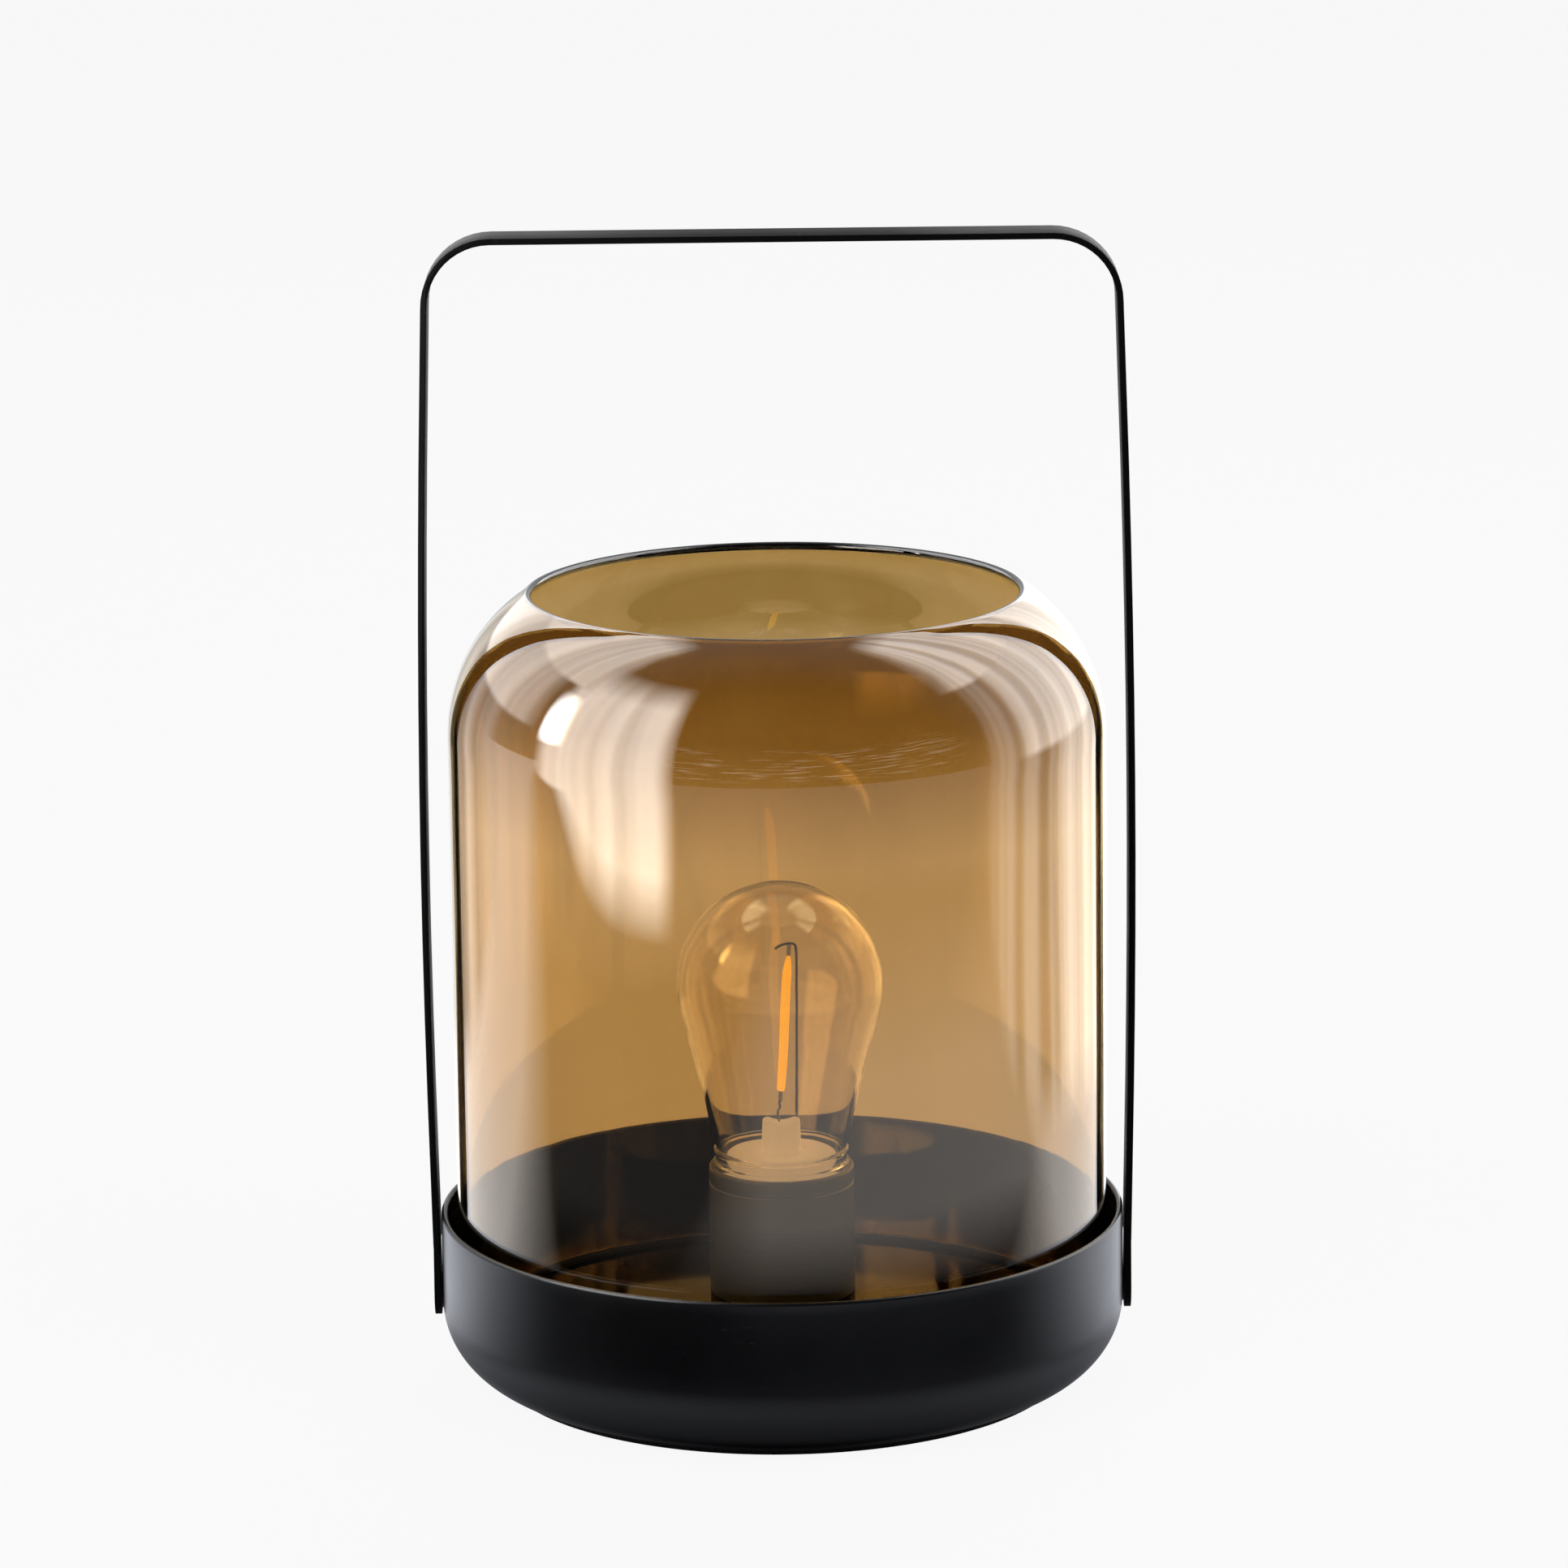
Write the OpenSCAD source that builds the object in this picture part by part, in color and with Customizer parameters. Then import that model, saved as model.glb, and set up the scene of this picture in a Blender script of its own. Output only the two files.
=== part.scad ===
// Battery lantern with a lift-off glass, a swinging strip handle and a bulb on a post.
// Millimetres, +Z up. The origin is on the surface that the lantern stands on, on its axis.
// The handle lies in the XZ plane.

/* [Foot and underside cover] */
// Thickness of the non-slip foot ring
foot_t = 1.5; // [1:0.1:2.5]
// How far the foot ring's edge stands in from the cover's edge
foot_inset = 2; // [1:0.1:4]
// Width of the foot ring
foot_w = 9; // [6:0.5:9.5]
// Thickness of the cover's flange under the bowl
flange_t = 1; // [0.8:0.1:1.4]
// How far the cover's flange reaches under the bowl's lip
flange_lap = 4.5; // [3:0.1:5]
// Distance of the cover screws from the foot ring
cover_screw_inset = 5.5; // [4:0.1:7]

/* [Bowl] */
// Outer radius of the bowl
bowl_r = 80; // [74:0.5:90]
// Thickness of the bowl's sheet metal
bowl_wall = 1.5; // [1:0.1:1.6]
// Height of the rim above the resting plane
rim_z = 40; // [38:0.5:46]
// Radius of the curve between the wall and the bottom
bowl_corner_r = 18; // [16:0.5:19]
// Angle that the curve turns through, from the wall down
bowl_corner_turn = 63.6; // [58:0.2:70]
// Width of the flat lip inside the curve
bowl_lip_w = 6; // [4:0.1:8]

/* [Inner housing] */
// Thickness of the black floor inside the glass
floor_t = 2; // [1.6:0.1:2.4]
// Room between the battery contacts and the wall of their well
well_room = 2.3; // [1:0.1:4]
// Wall of the battery well under the plateau
well_wall = 1.8; // [1.2:0.1:2]
// Thickness of the plateau's top
plateau_t = 1.9; // [1.4:0.1:2.5]
// Thickness of the skirt that stands on the bowl's lip
skirt_t = 1.5; // [1.2:0.1:2]

/* [Glass] */
// Gap between the bowl's wall and the glass
glass_gap = 2.3; // [1.8:0.1:4]
// Thickness of the glass
glass_t = 2; // [1.5:0.1:2.6]
// Height of the glass's mouth above the resting plane
glass_top_z = 187; // [170:1:200]
// Radius of the rounded shoulder
shoulder_r = 40; // [32:0.5:44]
// How far the mouth stands in from the glass's wall
mouth_inset = 18.4; // [12:0.1:24]
// Thickness of the silicone ring under the glass
cushion_t = 1.2; // [0.8:0.1:2]
// Width of the silicone ring
cushion_w = 2.6; // [2.2:0.1:4]

/* [Post and bulb] */
// Outer radius of the post
post_r = 17; // [16.9:0.1:18.5]
// Wall of the post
post_wall = 1.6; // [1.2:0.1:1.8]
// Height of the post's top above the resting plane
post_top_z = 50; // [46:0.5:60]
// Radius of the bulb's round end
bulb_r = 24; // [23:0.5:26]
// Thickness of the bulb's clear wall
bulb_wall = 1.2; // [0.8:0.1:1.4]
// Height of the bulb above the post
bulb_h = 67.7; // [64:0.5:72]
// Length of the filament's coated part
filament_l = 32.7; // [28:0.5:34]
// Sideways lean of the filament over its length
filament_lean = 2.1; // [0:0.1:2.4]

/* [Handle] */
// Width of the steel strip
strip_w = 12; // [10:0.5:14]
// Thickness of the steel strip
strip_t = 1.5; // [1.4:0.1:2]
// Height of the handle's top above the resting plane
handle_top_z = 270; // [255:1:285]
// Height of the handle's pivots above the bowl's curve
pivot_rise = 1.4; // [0.8:0.1:6]
// Outer radius of the handle's top corners
handle_corner_r = 16; // [12:0.5:24]
// How far the legs bow outwards
leg_bow = 1.3; // [0:0.1:2]
// How far the legs lean in at their top
leg_lean = 1.85; // [0:0.05:2.4]

/* [Batteries and switch] */
// Radius of one AA cell
cell_r = 7.1; // [6.9:0.05:7.15]
// Length of one AA cell, with its nub
cell_l = 50.5; // [49.5:0.1:50.6]
// Gap between two cells
cell_gap = 0.4; // [0.2:0.1:0.6]
// Length of a pressed contact spring
spring_l = 3.5; // [3:0.1:4]
// Room between the battery contacts and the door's end
door_room_x = 3; // [2.4:0.1:4]
// Room between the batteries and the door's edge
door_room_y = 3.3; // [3:0.1:4]
// Thickness of the battery door
door_t = 1.5; // [1.2:0.1:1.7]
// Travel of the switch to each side of OFF
switch_travel = 2; // [1:0.1:2.5]

/* [Fits] */
// Gap between parts that only have to pass each other
gap = 0.3; // [0.2:0.05:0.4]
// Radial clearance of a screw or pin in its hole
pin_gap = 0.05; // [0.03:0.01:0.1]
// Radius of the small self-tapping screws
tap_r = 1.25; // [1:0.05:1.4]
// Radius of the handle's pivot screws
pivot_r = 1.45; // [1.2:0.05:1.6]

/* [Hidden] */
$fn = 96;
cut = 1;                                     // how far a cutting body runs past a face

// Switch and board: their heights set the room between the cover and the floor
board_t = 1.2;
switch_h = 1.8;
slider_flange_t = 0.65;
slider_play = 0.12;                          // below the slider's flange
slider_room = slider_flange_t + 0.35;

// Heights of the base, from the resting plane up
cover_z = foot_t;
bowl_z = cover_z + flange_t;                 // underside of the bowl
lip_z = bowl_z + bowl_wall;                  // upper side of the bowl's lip
switch_z = lip_z + slider_room;
board_z = switch_z + switch_h;
floor_under_z = board_z + board_t;
floor_z = floor_under_z + floor_t;

// Bowl
corner_c = bowl_r - bowl_corner_r;
corner_zc = bowl_z + bowl_corner_r * sin(bowl_corner_turn);
bowl_flat_r = corner_c + bowl_corner_r * cos(bowl_corner_turn);
bowl_hole_r = bowl_flat_r - bowl_lip_w;
bowl_in_r = bowl_r - bowl_wall;

// Foot and cover
cover_r = bowl_hole_r + flange_lap;
foot_outer_r = cover_r - foot_inset;
foot_inner_r = foot_outer_r - foot_w;
cover_screw_circle_r = foot_inner_r - cover_screw_inset;

// Batteries
cell_pitch = 2 * cell_r + cell_gap;
cell_zc = cover_z + door_t + gap + cell_r;
well_top_z = cell_zc + cell_r + 0.2;
plateau_z = well_top_z + plateau_t;
contact_x = (cell_l + spring_l) / 2;         // inner face of the contact plates
plate_t = 0.4;
plate_w = 9;
plate_drop = 5.7;                            // how far the plates reach below the cells' axis
plate_rise = 4.9;
plate_low_z = cell_zc - plate_drop;
plate_top_z = cell_zc + plate_rise;
rib_t = 1.5;
rib_w = 2 * cell_pitch + plate_w + 2.4;
rib_low_z = plate_low_z + 0.5;
well_r = norm([contact_x + plate_t, cell_pitch + plate_w / 2]) + well_room;
plateau_r = well_r + well_wall;
plateau_round_r = 1;
nub_l = 1.4;
nub_r = 2.75;
spring_wire_r = 0.35;
spring_big_r = 3.6;
spring_small_r = 2.6;

// Battery door: it swings about its lower edge at -Y
door_l = 2 * (contact_x + door_room_x);
door_w = 2 * (cell_pitch + cell_r + door_room_y);
recess_l = door_l + 2 * gap;
recess_w = door_w + 2 * gap;
ledge_w = 1.5;
tab_x = 14;                                  // middle of each hooked tab
tab_w = 6;
tab_neck = 1.5;
tab_reach = 2.6;
tab_t = 1;
tongue_w = 14;
tongue_l = 11;
tongue_slot = 1;
grip_pitch = 2.2;
grip_h = 0.4;
latch_h = 1.6;
scoop_r = 8.2;
scoop_depth = 1.2;

// Glass
glass_r = bowl_in_r - glass_gap;
shoulder_a = acos(1 - mouth_inset / shoulder_r);
lip_turn = 15;                               // where the lip's round starts and ends
shoulder_z = glass_top_z - shoulder_r * sin(shoulder_a);
seat_z = floor_z + cushion_t;
cushion_r = glass_r - 0.8;

// Post and bulb
post_in_r = post_r - post_wall;
post_lip_t = 2.5;
post_lip_r = post_in_r - 0.8;
post_boss_r = tap_r + 1.45;
post_boss_h = 8.5;
post_screw_at = [9, -cell_pitch / 2];
post_head_r = tap_r + 0.95;
post_head_t = 1.2;
spigot_r = post_lip_r - 0.2;
spigot_h = 5;
spigot_wall = 1.1;
foot_flange_r = post_r - 1;
neck_r = spigot_r + 0.9;
collar_h = 4.4;
bulb_zc = post_top_z + bulb_h - bulb_r;
neck_z = post_top_z + collar_h;
stem_r = spigot_r - spigot_wall - 0.3;
stem_disc_h = 3;                             // heights above the post's top
stem_h = 11.6;
stem_disc_z = post_top_z + stem_disc_h;
stem_z = post_top_z + stem_h;
stem_column_r = 4.4;
stem_bevel = 0.6;
stem_cup_wall = 1.2;
filament_low_z = stem_z + 6.1;
filament_tab_l = 2.4;
wire_r = 0.3;
support_x = filament_lean + 1.7;

// Handle
pivot_z = corner_zc + pivot_rise;
washer_t = 0.3;
washer_r = 4.5;
washer_gap = 0.03;
strip_in_x = bowl_r + washer_t + 2 * washer_gap;
strip_out_x = strip_in_x + strip_t;
pivot_flat_z = pivot_z + strip_w;            // up to here the legs are straight
leg_top_z = handle_top_z - handle_corner_r;
pivot_head_r = pivot_r + 1.35;
pivot_head_t = strip_t - 0.2;
pivot_head_sink = 0.05;
head_gap = 0.08;
insert_r = pivot_r + 0.65;
insert_flange_r = insert_r + 1.1;
insert_flange_t = 0.9;
insert_seat = 0.15;                          // between the insert's flange and the bowl's wall
insert_sink = 0.05;
insert_x = bowl_in_r - insert_seat - insert_flange_t; // inner end of the threaded insert

// Switch and board
board_l = 26;
board_w = 12;
board_x = plateau_r + 4 + board_w / 2;
switch_x = board_x - 1;
switch_w = 4;
switch_l = 9;
slider_l = 5;
slider_w = 3.8;
slider_low_z = cover_z + 0.3;
slot_l = slider_l + 2 * switch_travel + 2 * gap;
slot_w = slider_w + 2 * gap;
slider_flange_l = slot_l + 2 * switch_travel + 1;
slider_flange_w = slot_w + 2;
slider_peg = 1.5;                            // width of the square peg
peg_r = 0.9;                                 // pegs that hold the board
peg_x = board_x - 2;
peg_y = board_l / 2 - 2.5;

// Self-tapping screws
tap_head_r = tap_r + 1.05;
tap_head_t = 1.3;
tap_recess = 0.15;                           // how deep the heads lie under the surface
head_room = 0.15;
boss_top_z = floor_z - 0.5;
cover_screw_l = boss_top_z - 0.5 - cover_z - tap_recess;
boss_r = tap_r + 2.15;

// Leads
lead_r = 0.55;
lead_z = board_z - 0.9;
lead_end_x = board_x - board_w / 2 + 1.5;    // where the leads meet the board
lead_notch_w = 3.4;
lead_notch_z = lead_z + 1.4;
valley_y = cell_pitch / 2;
lead_top_z = well_top_z - 1.1;
lead_hole = [5.5, valley_y];
lead_hole_r = 2.2;
led_lead_gap = 1.4;
red_joint_y = -board_l / 2 + 2.5;
black_joint_y = board_l / 2 - 2.5;
led_joint_y = [5.6, 3.4];                    // red, black
joint_r = 1;
joint_h = board_z - lead_z + lead_r;

// ---------------------------------------------------------------- shared shapes

// n + 1 points on an arc about [cx, cy], from angle a to angle b.
function arc(cx, cy, r, a, b, n) =
    [for (i = [0:n]) let (t = a + (b - a) * i / n) [cx + r * cos(t), cy + r * sin(t)]];

function unit(v) = v / norm(v);

// The ring of a tube at point i of path p. No stretch of the path runs along ref.
function ring(p, i, r, sides, ref) =
    let (t = unit(p[min(i + 1, len(p) - 1)] - p[max(i - 1, 0)]),
         u = unit(cross(t, ref)),
         v = cross(t, u))
    [for (k = [0:sides - 1]) let (a = 360 * k / sides) p[i] + r * (cos(a) * u + sin(a) * v)];

// A round wire along path p, as one closed solid.
module wire(p, r, ref, sides = 8) {
    n = len(p);
    points = [for (i = [0:n - 1]) each ring(p, i, r, sides, ref)];
    faces = concat(
        [[for (k = [0:sides - 1]) k]],
        [for (i = [0:n - 2], k = [0:sides - 1])
            let (a = i * sides + k, b = i * sides + (k + 1) % sides)
            [a, a + sides, b + sides, b]],
        [[for (k = [sides - 1:-1:0]) (n - 1) * sides + k]]);
    polyhedron(points, faces);
}

// A box from one corner to the opposite one.
module block(low, high) {
    translate(low) cube(high - low);
}

module mirrored_x() {
    children();
    mirror([1, 0, 0]) children();
}

// A countersunk screw that points along +Z, with its head's face at z = 0 and a cross recess.
module countersunk_screw(r, head_r, head_t, l) {
    difference() {
        union() {
            cylinder(r1 = head_r, r2 = r, h = head_t);
            cylinder(r = r, h = l - r);
            translate([0, 0, l - r]) cylinder(r1 = r, r2 = 0.3 * r, h = r);
        }
        for (turn = [0, 90]) rotate(turn)
            translate([-head_r * 0.55, -0.3, -cut]) cube([head_r * 1.1, 0.6, cut + head_t * 0.6]);
    }
}

// The places of the four cover screws.
module at_cover_screws() {
    for (turn = [45:90:315]) rotate(turn) translate([cover_screw_circle_r, 0, 0]) children();
}

// The two places of the post screws.
module at_post_screws() {
    for (side = [1, -1]) translate([side * post_screw_at[0], side * post_screw_at[1], 0]) children();
}

// ---------------------------------------------------------------- base

// Spun steel bowl with a rounded rim and a round hole in its bottom.
module bowl() {
    inner_corner_r = bowl_corner_r - bowl_wall;
    inner_a = asin((corner_zc - lip_z) / inner_corner_r);
    color([0.03, 0.03, 0.035]) difference() {
        rotate_extrude() polygon(concat(
            [[bowl_hole_r, bowl_z]],
            arc(corner_c, corner_zc, bowl_corner_r, -bowl_corner_turn, 0, 16),
            arc(bowl_r - bowl_wall / 2, rim_z - bowl_wall / 2, bowl_wall / 2, 0, 180, 8),
            arc(corner_c, corner_zc, inner_corner_r, 0, -inner_a, 16),
            [[bowl_hole_r, lip_z]]));
        mirrored_x() translate([bowl_in_r - cut, 0, pivot_z])
            rotate([0, 90, 0]) cylinder(r = insert_r + pin_gap, h = bowl_wall + 2 * cut);
    }
}

// Round black moulding: the floor inside the glass, the plateau over the battery well,
// the skirt on the bowl's lip, screw bosses and the ribs behind the battery contacts.
module inner_housing() {
    edge_r = bowl_corner_r - bowl_wall - gap;
    low_a = asin((corner_zc - floor_under_z) / edge_r);
    high_a = asin((corner_zc - floor_z) / edge_r);
    skirt_r = bowl_hole_r + 0.6;
    color([0.02, 0.02, 0.02]) difference() {
        union() {
            rotate_extrude() polygon(concat(
                [[0, well_top_z], [well_r, well_top_z], [well_r, lip_z], [plateau_r, lip_z],
                 [plateau_r, floor_under_z], [skirt_r, floor_under_z], [skirt_r, lip_z],
                 [skirt_r + skirt_t, lip_z], [skirt_r + skirt_t, floor_under_z]],
                arc(corner_c, corner_zc, edge_r, -low_a, -high_a, 4),
                [[plateau_r, floor_z]],
                arc(plateau_r - plateau_round_r, plateau_z - plateau_round_r, plateau_round_r, 0, 90, 6),
                [[0, plateau_z]]));
            translate([0, 0, plateau_z - cut]) difference() {
                cylinder(r = post_in_r - 0.2, h = cut + 1.2);
                translate([0, 0, -cut]) cylinder(r = post_in_r - 0.9, h = cut + 4);
            }
            at_cover_screws() translate([0, 0, lip_z]) cylinder(r = boss_r, h = boss_top_z - lip_z);
            mirrored_x() block([contact_x + plate_t + pin_gap, -rib_w / 2, rib_low_z],
                               [contact_x + plate_t + pin_gap + rib_t, rib_w / 2, well_top_z + 0.5]);
            for (side = [1, -1]) translate([peg_x, side * peg_y, board_z - 0.5])
                cylinder(r = peg_r, h = boss_top_z - board_z);
        }
        at_cover_screws() translate([0, 0, lip_z - cut])
            cylinder(r = tap_r + pin_gap, h = boss_top_z - 0.1 - lip_z + cut);
        at_post_screws() translate([0, 0, well_top_z - cut])
            cylinder(r = tap_r + head_room, h = plateau_t + 2 * cut);
        translate([lead_hole[0], lead_hole[1], well_top_z - cut])
            cylinder(r = lead_hole_r, h = plateau_t + 2 * cut);
        lead_notches();
    }
}

// Notches that let the leads pass through the well's wall and the contact ribs.
module lead_notches() {
    low_z = lip_z - cut;
    w = lead_notch_w / 2;
    block([contact_x, -cell_pitch - w, low_z], [plateau_r + cut, -cell_pitch + w, lead_notch_z]);
    block([-plateau_r - cut, cell_pitch - w, low_z], [-contact_x, cell_pitch + w, lead_notch_z]);
    block([contact_x + rib_t + cut, valley_y - w, low_z], [plateau_r + cut, valley_y + w, lead_notch_z]);
    block([contact_x, valley_y - w, plate_top_z], [contact_x + rib_t + cut, valley_y + w, well_top_z]);
}

// Silicone ring on the floor, under the edge of the glass.
module glass_cushion() {
    color([0.08, 0.08, 0.08]) translate([0, 0, floor_z]) difference() {
        cylinder(r = cushion_r, h = cushion_t);
        translate([0, 0, -cut]) cylinder(r = cushion_r - cushion_w, h = cushion_t + 2 * cut);
    }
}

// Black plastic plate that closes the bowl from below.
module underside_cover() {
    color([0.05, 0.05, 0.05]) difference() {
        union() {
            translate([0, 0, cover_z]) cylinder(r = cover_r, h = flange_t);
            translate([0, 0, cover_z]) cylinder(r = bowl_hole_r - gap, h = lip_z - cover_z);
        }
        translate([-recess_l / 2, -recess_w / 2, cover_z - cut])
            cube([recess_l, recess_w, cut + door_t + 0.1]);
        translate([-recess_l / 2 + ledge_w, -recess_w / 2, cover_z])
            cube([recess_l - 2 * ledge_w, recess_w, lip_z]);
        translate([switch_x - slot_w / 2, -slot_l / 2, cover_z - cut]) cube([slot_w, slot_l, lip_z]);
        at_cover_screws() {
            translate([0, 0, cover_z - cut]) cylinder(r = tap_r + head_room, h = lip_z);
            translate([0, 0, cover_z - cut]) cylinder(r = tap_head_r + head_room, h = cut + tap_recess);
            translate([0, 0, cover_z + tap_recess - 0.001])
                cylinder(r1 = tap_head_r + head_room, r2 = tap_r + head_room, h = tap_head_t);
        }
        finger_scoop();
    }
}

// Shallow hollow beside the door's tongue, for a fingertip.
module finger_scoop() {
    translate([-tongue_w / 2, door_w / 2 + 2, cover_z + scoop_depth - scoop_r]) rotate([0, 90, 0])
        cylinder(r = scoop_r, h = tongue_w);
}

// Non-slip ring that the lantern stands on.
module foot_ring() {
    color([0.06, 0.06, 0.06]) difference() {
        cylinder(r = foot_outer_r, h = foot_t);
        translate([0, 0, -cut]) cylinder(r = foot_inner_r, h = foot_t + 2 * cut);
    }
}

// Four self-tapping screws that hold the cover to the housing.
module cover_screws() {
    color("silver") at_cover_screws() translate([0, 0, cover_z + tap_recess])
        countersunk_screw(tap_r, tap_head_r, tap_head_t, cover_screw_l);
}

// ---------------------------------------------------------------- battery door

// Door with two hooked tabs at -Y and a springy tongue with grip ridges at +Y.
module battery_door() {
    color([0.05, 0.05, 0.05]) {
        difference() {
            translate([-door_l / 2, -door_w / 2, cover_z]) cube([door_l, door_w, door_t]);
            mirrored_x() translate([tongue_w / 2, door_w / 2 - tongue_l, cover_z - cut])
                cube([tongue_slot, tongue_l + cut, door_t + 2 * cut]);
        }
        for (i = [0:2]) translate([-tongue_w / 2 + 2, door_w / 2 - 3 - grip_pitch * i, cover_z - grip_h])
            cube([tongue_w - 4, 1, grip_h + 0.1]);
        mirrored_x() door_tab();
        translate([-tongue_w / 2 + 2, door_w / 2 - 1.3, cover_z + door_t - 0.1])
            cube([tongue_w - 4, 1, latch_h]);
    }
}

// One hooked tab: a neck inside the opening and a lip over the cover's edge.
module door_tab() {
    tab_z = lip_z + 0.4;
    translate([tab_x - tab_w / 2, -door_w / 2 + 0.2, cover_z + door_t - 0.1])
        cube([tab_w, tab_neck, tab_z + tab_t - cover_z - door_t + 0.1]);
    translate([tab_x - tab_w / 2, -door_w / 2 - tab_reach, tab_z])
        cube([tab_w, tab_reach + tab_neck, tab_t]);
}

// ---------------------------------------------------------------- batteries and contacts

// One AA cell in row i. Cells 1 and 3 point to +X and cell 2 to -X.
module cell(i) {
    bevel = 0.5;
    turn = i == 2 ? 180 : 0;
    translate([0, (i - 2) * cell_pitch, cell_zc]) rotate(turn)
        translate([contact_x - 0.05 - cell_l, 0, 0]) rotate([0, 90, 0]) {
            cylinder(r1 = cell_r - bevel, r2 = cell_r, h = bevel);
            translate([0, 0, bevel]) cylinder(r = cell_r, h = cell_l - nub_l - 2 * bevel);
            translate([0, 0, cell_l - nub_l - bevel]) cylinder(r1 = cell_r, r2 = cell_r - bevel, h = bevel);
            translate([0, 0, cell_l - nub_l - 0.1]) cylinder(r = nub_r, h = nub_l + 0.1);
        }
}

module battery_1() { color([0.2, 0.22, 0.25]) cell(1); }
module battery_2() { color([0.2, 0.22, 0.25]) cell(2); }
module battery_3() { color([0.2, 0.22, 0.25]) cell(3); }

// Conical contact spring from the plate at -X to a cell's flat end.
module contact_spring() {
    turns = 2.6;
    steps = 34;
    l = spring_l - 2 * spring_wire_r - 0.1;
    wire([for (i = [0:steps])
            let (t = i / steps, a = 360 * turns * t,
                 r = spring_big_r + (spring_small_r - spring_big_r) * t)
            [-contact_x + spring_wire_r + 0.05 + l * t, r * cos(a), r * sin(a)]],
         spring_wire_r, [1, 0, 0]);
}

module battery_springs() {
    color("silver") translate([0, 0, cell_zc]) {
        for (row = [-1, 1]) translate([0, row * cell_pitch, 0]) contact_spring();
        rotate(180) contact_spring();
    }
}

// Two single plates and two that bridge a pair of cells.
module contact_plates() {
    w = plate_w / 2;
    color("silver") {
        block([contact_x, -cell_pitch - w, plate_low_z], [contact_x + plate_t, -cell_pitch + w, plate_top_z]);
        block([contact_x, -w, plate_low_z], [contact_x + plate_t, cell_pitch + w, plate_top_z]);
        block([-contact_x - plate_t, -cell_pitch - w, plate_low_z], [-contact_x, w, plate_top_z]);
        block([-contact_x - plate_t, cell_pitch - w, plate_low_z], [-contact_x, cell_pitch + w, plate_top_z]);
    }
}

// ---------------------------------------------------------------- board and switch

// Circuit board under the floor, held by two pegs.
module circuit_board() {
    color([0.05, 0.3, 0.12]) difference() {
        block([board_x - board_w / 2, -board_l / 2, board_z],
              [board_x + board_w / 2, board_l / 2, board_z + board_t]);
        for (side = [1, -1]) translate([peg_x, side * peg_y, board_z - cut])
            cylinder(r = peg_r + pin_gap, h = board_t + 2 * cut);
    }
}

// Six-hour timer chip with its eight legs.
module timer_chip() {
    body = [3.9, 4.9, 1.2];
    at = [board_x + 2.5, -switch_l / 2 - 3.6, board_z - 0.1];
    color([0.04, 0.04, 0.04]) translate(at) {
        translate([-body[0] / 2, -body[1] / 2, -body[2]]) cube(body);
        for (i = [0:3]) translate([-body[0] / 2 - 1, -2.1 + 1.27 * i, -0.4])
            cube([body[0] + 2, 0.4, 0.35]);
    }
}

// Two resistors and a capacitor.
module board_parts() {
    color("tan") {
        for (x = [board_x + 0.8, board_x + 3.4]) block([x, switch_l / 2 + 1, board_z - 0.6],
                                                       [x + 1.5, switch_l / 2 + 3.5, board_z]);
        block([board_x + 1.6, switch_l / 2 + 4.6, board_z - 1.2],
              [board_x + 4.8, switch_l / 2 + 7, board_z]);
    }
}

// Drops of solder where the four leads meet the board.
module solder_joints() {
    color("silver") for (y = [red_joint_y, black_joint_y, led_joint_y[0], led_joint_y[1]])
        translate([lead_end_x + 0.2, y, board_z - joint_h])
            cylinder(r1 = 0.7 * joint_r, r2 = joint_r, h = joint_h);
}

// Metal case of the slide switch, with a slot for the slider's peg.
module switch_body() {
    color("silver") difference() {
        block([switch_x - switch_w / 2, -switch_l / 2, switch_z],
              [switch_x + switch_w / 2, switch_l / 2, board_z]);
        block([switch_x - slider_peg / 2 - gap, -slider_peg / 2 - switch_travel - gap, switch_z - cut],
              [switch_x + slider_peg / 2 + gap, slider_peg / 2 + switch_travel + gap, switch_z + 1.1]);
    }
}

// Slider: a ribbed knob in the cover's slot, a flange over the slot and a peg into the switch.
module switch_slider() {
    flange_z = lip_z + slider_play;
    color([0.75, 0.75, 0.75]) translate([switch_x, 0, 0]) {
        block([-slider_w / 2, -slider_l / 2, slider_low_z + 0.3],
              [slider_w / 2, slider_l / 2, flange_z + 0.1]);
        for (y = [-2:2]) block([-slider_w / 2, y - 0.25, slider_low_z],
                               [slider_w / 2, y + 0.25, slider_low_z + 0.4]);
        block([-slider_flange_w / 2, -slider_flange_l / 2, flange_z],
              [slider_flange_w / 2, slider_flange_l / 2, flange_z + slider_flange_t]);
        block([-slider_peg / 2, -slider_peg / 2, flange_z + 0.1],
              [slider_peg / 2, slider_peg / 2, switch_z + 0.8]);
    }
}

// ---------------------------------------------------------------- leads

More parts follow.
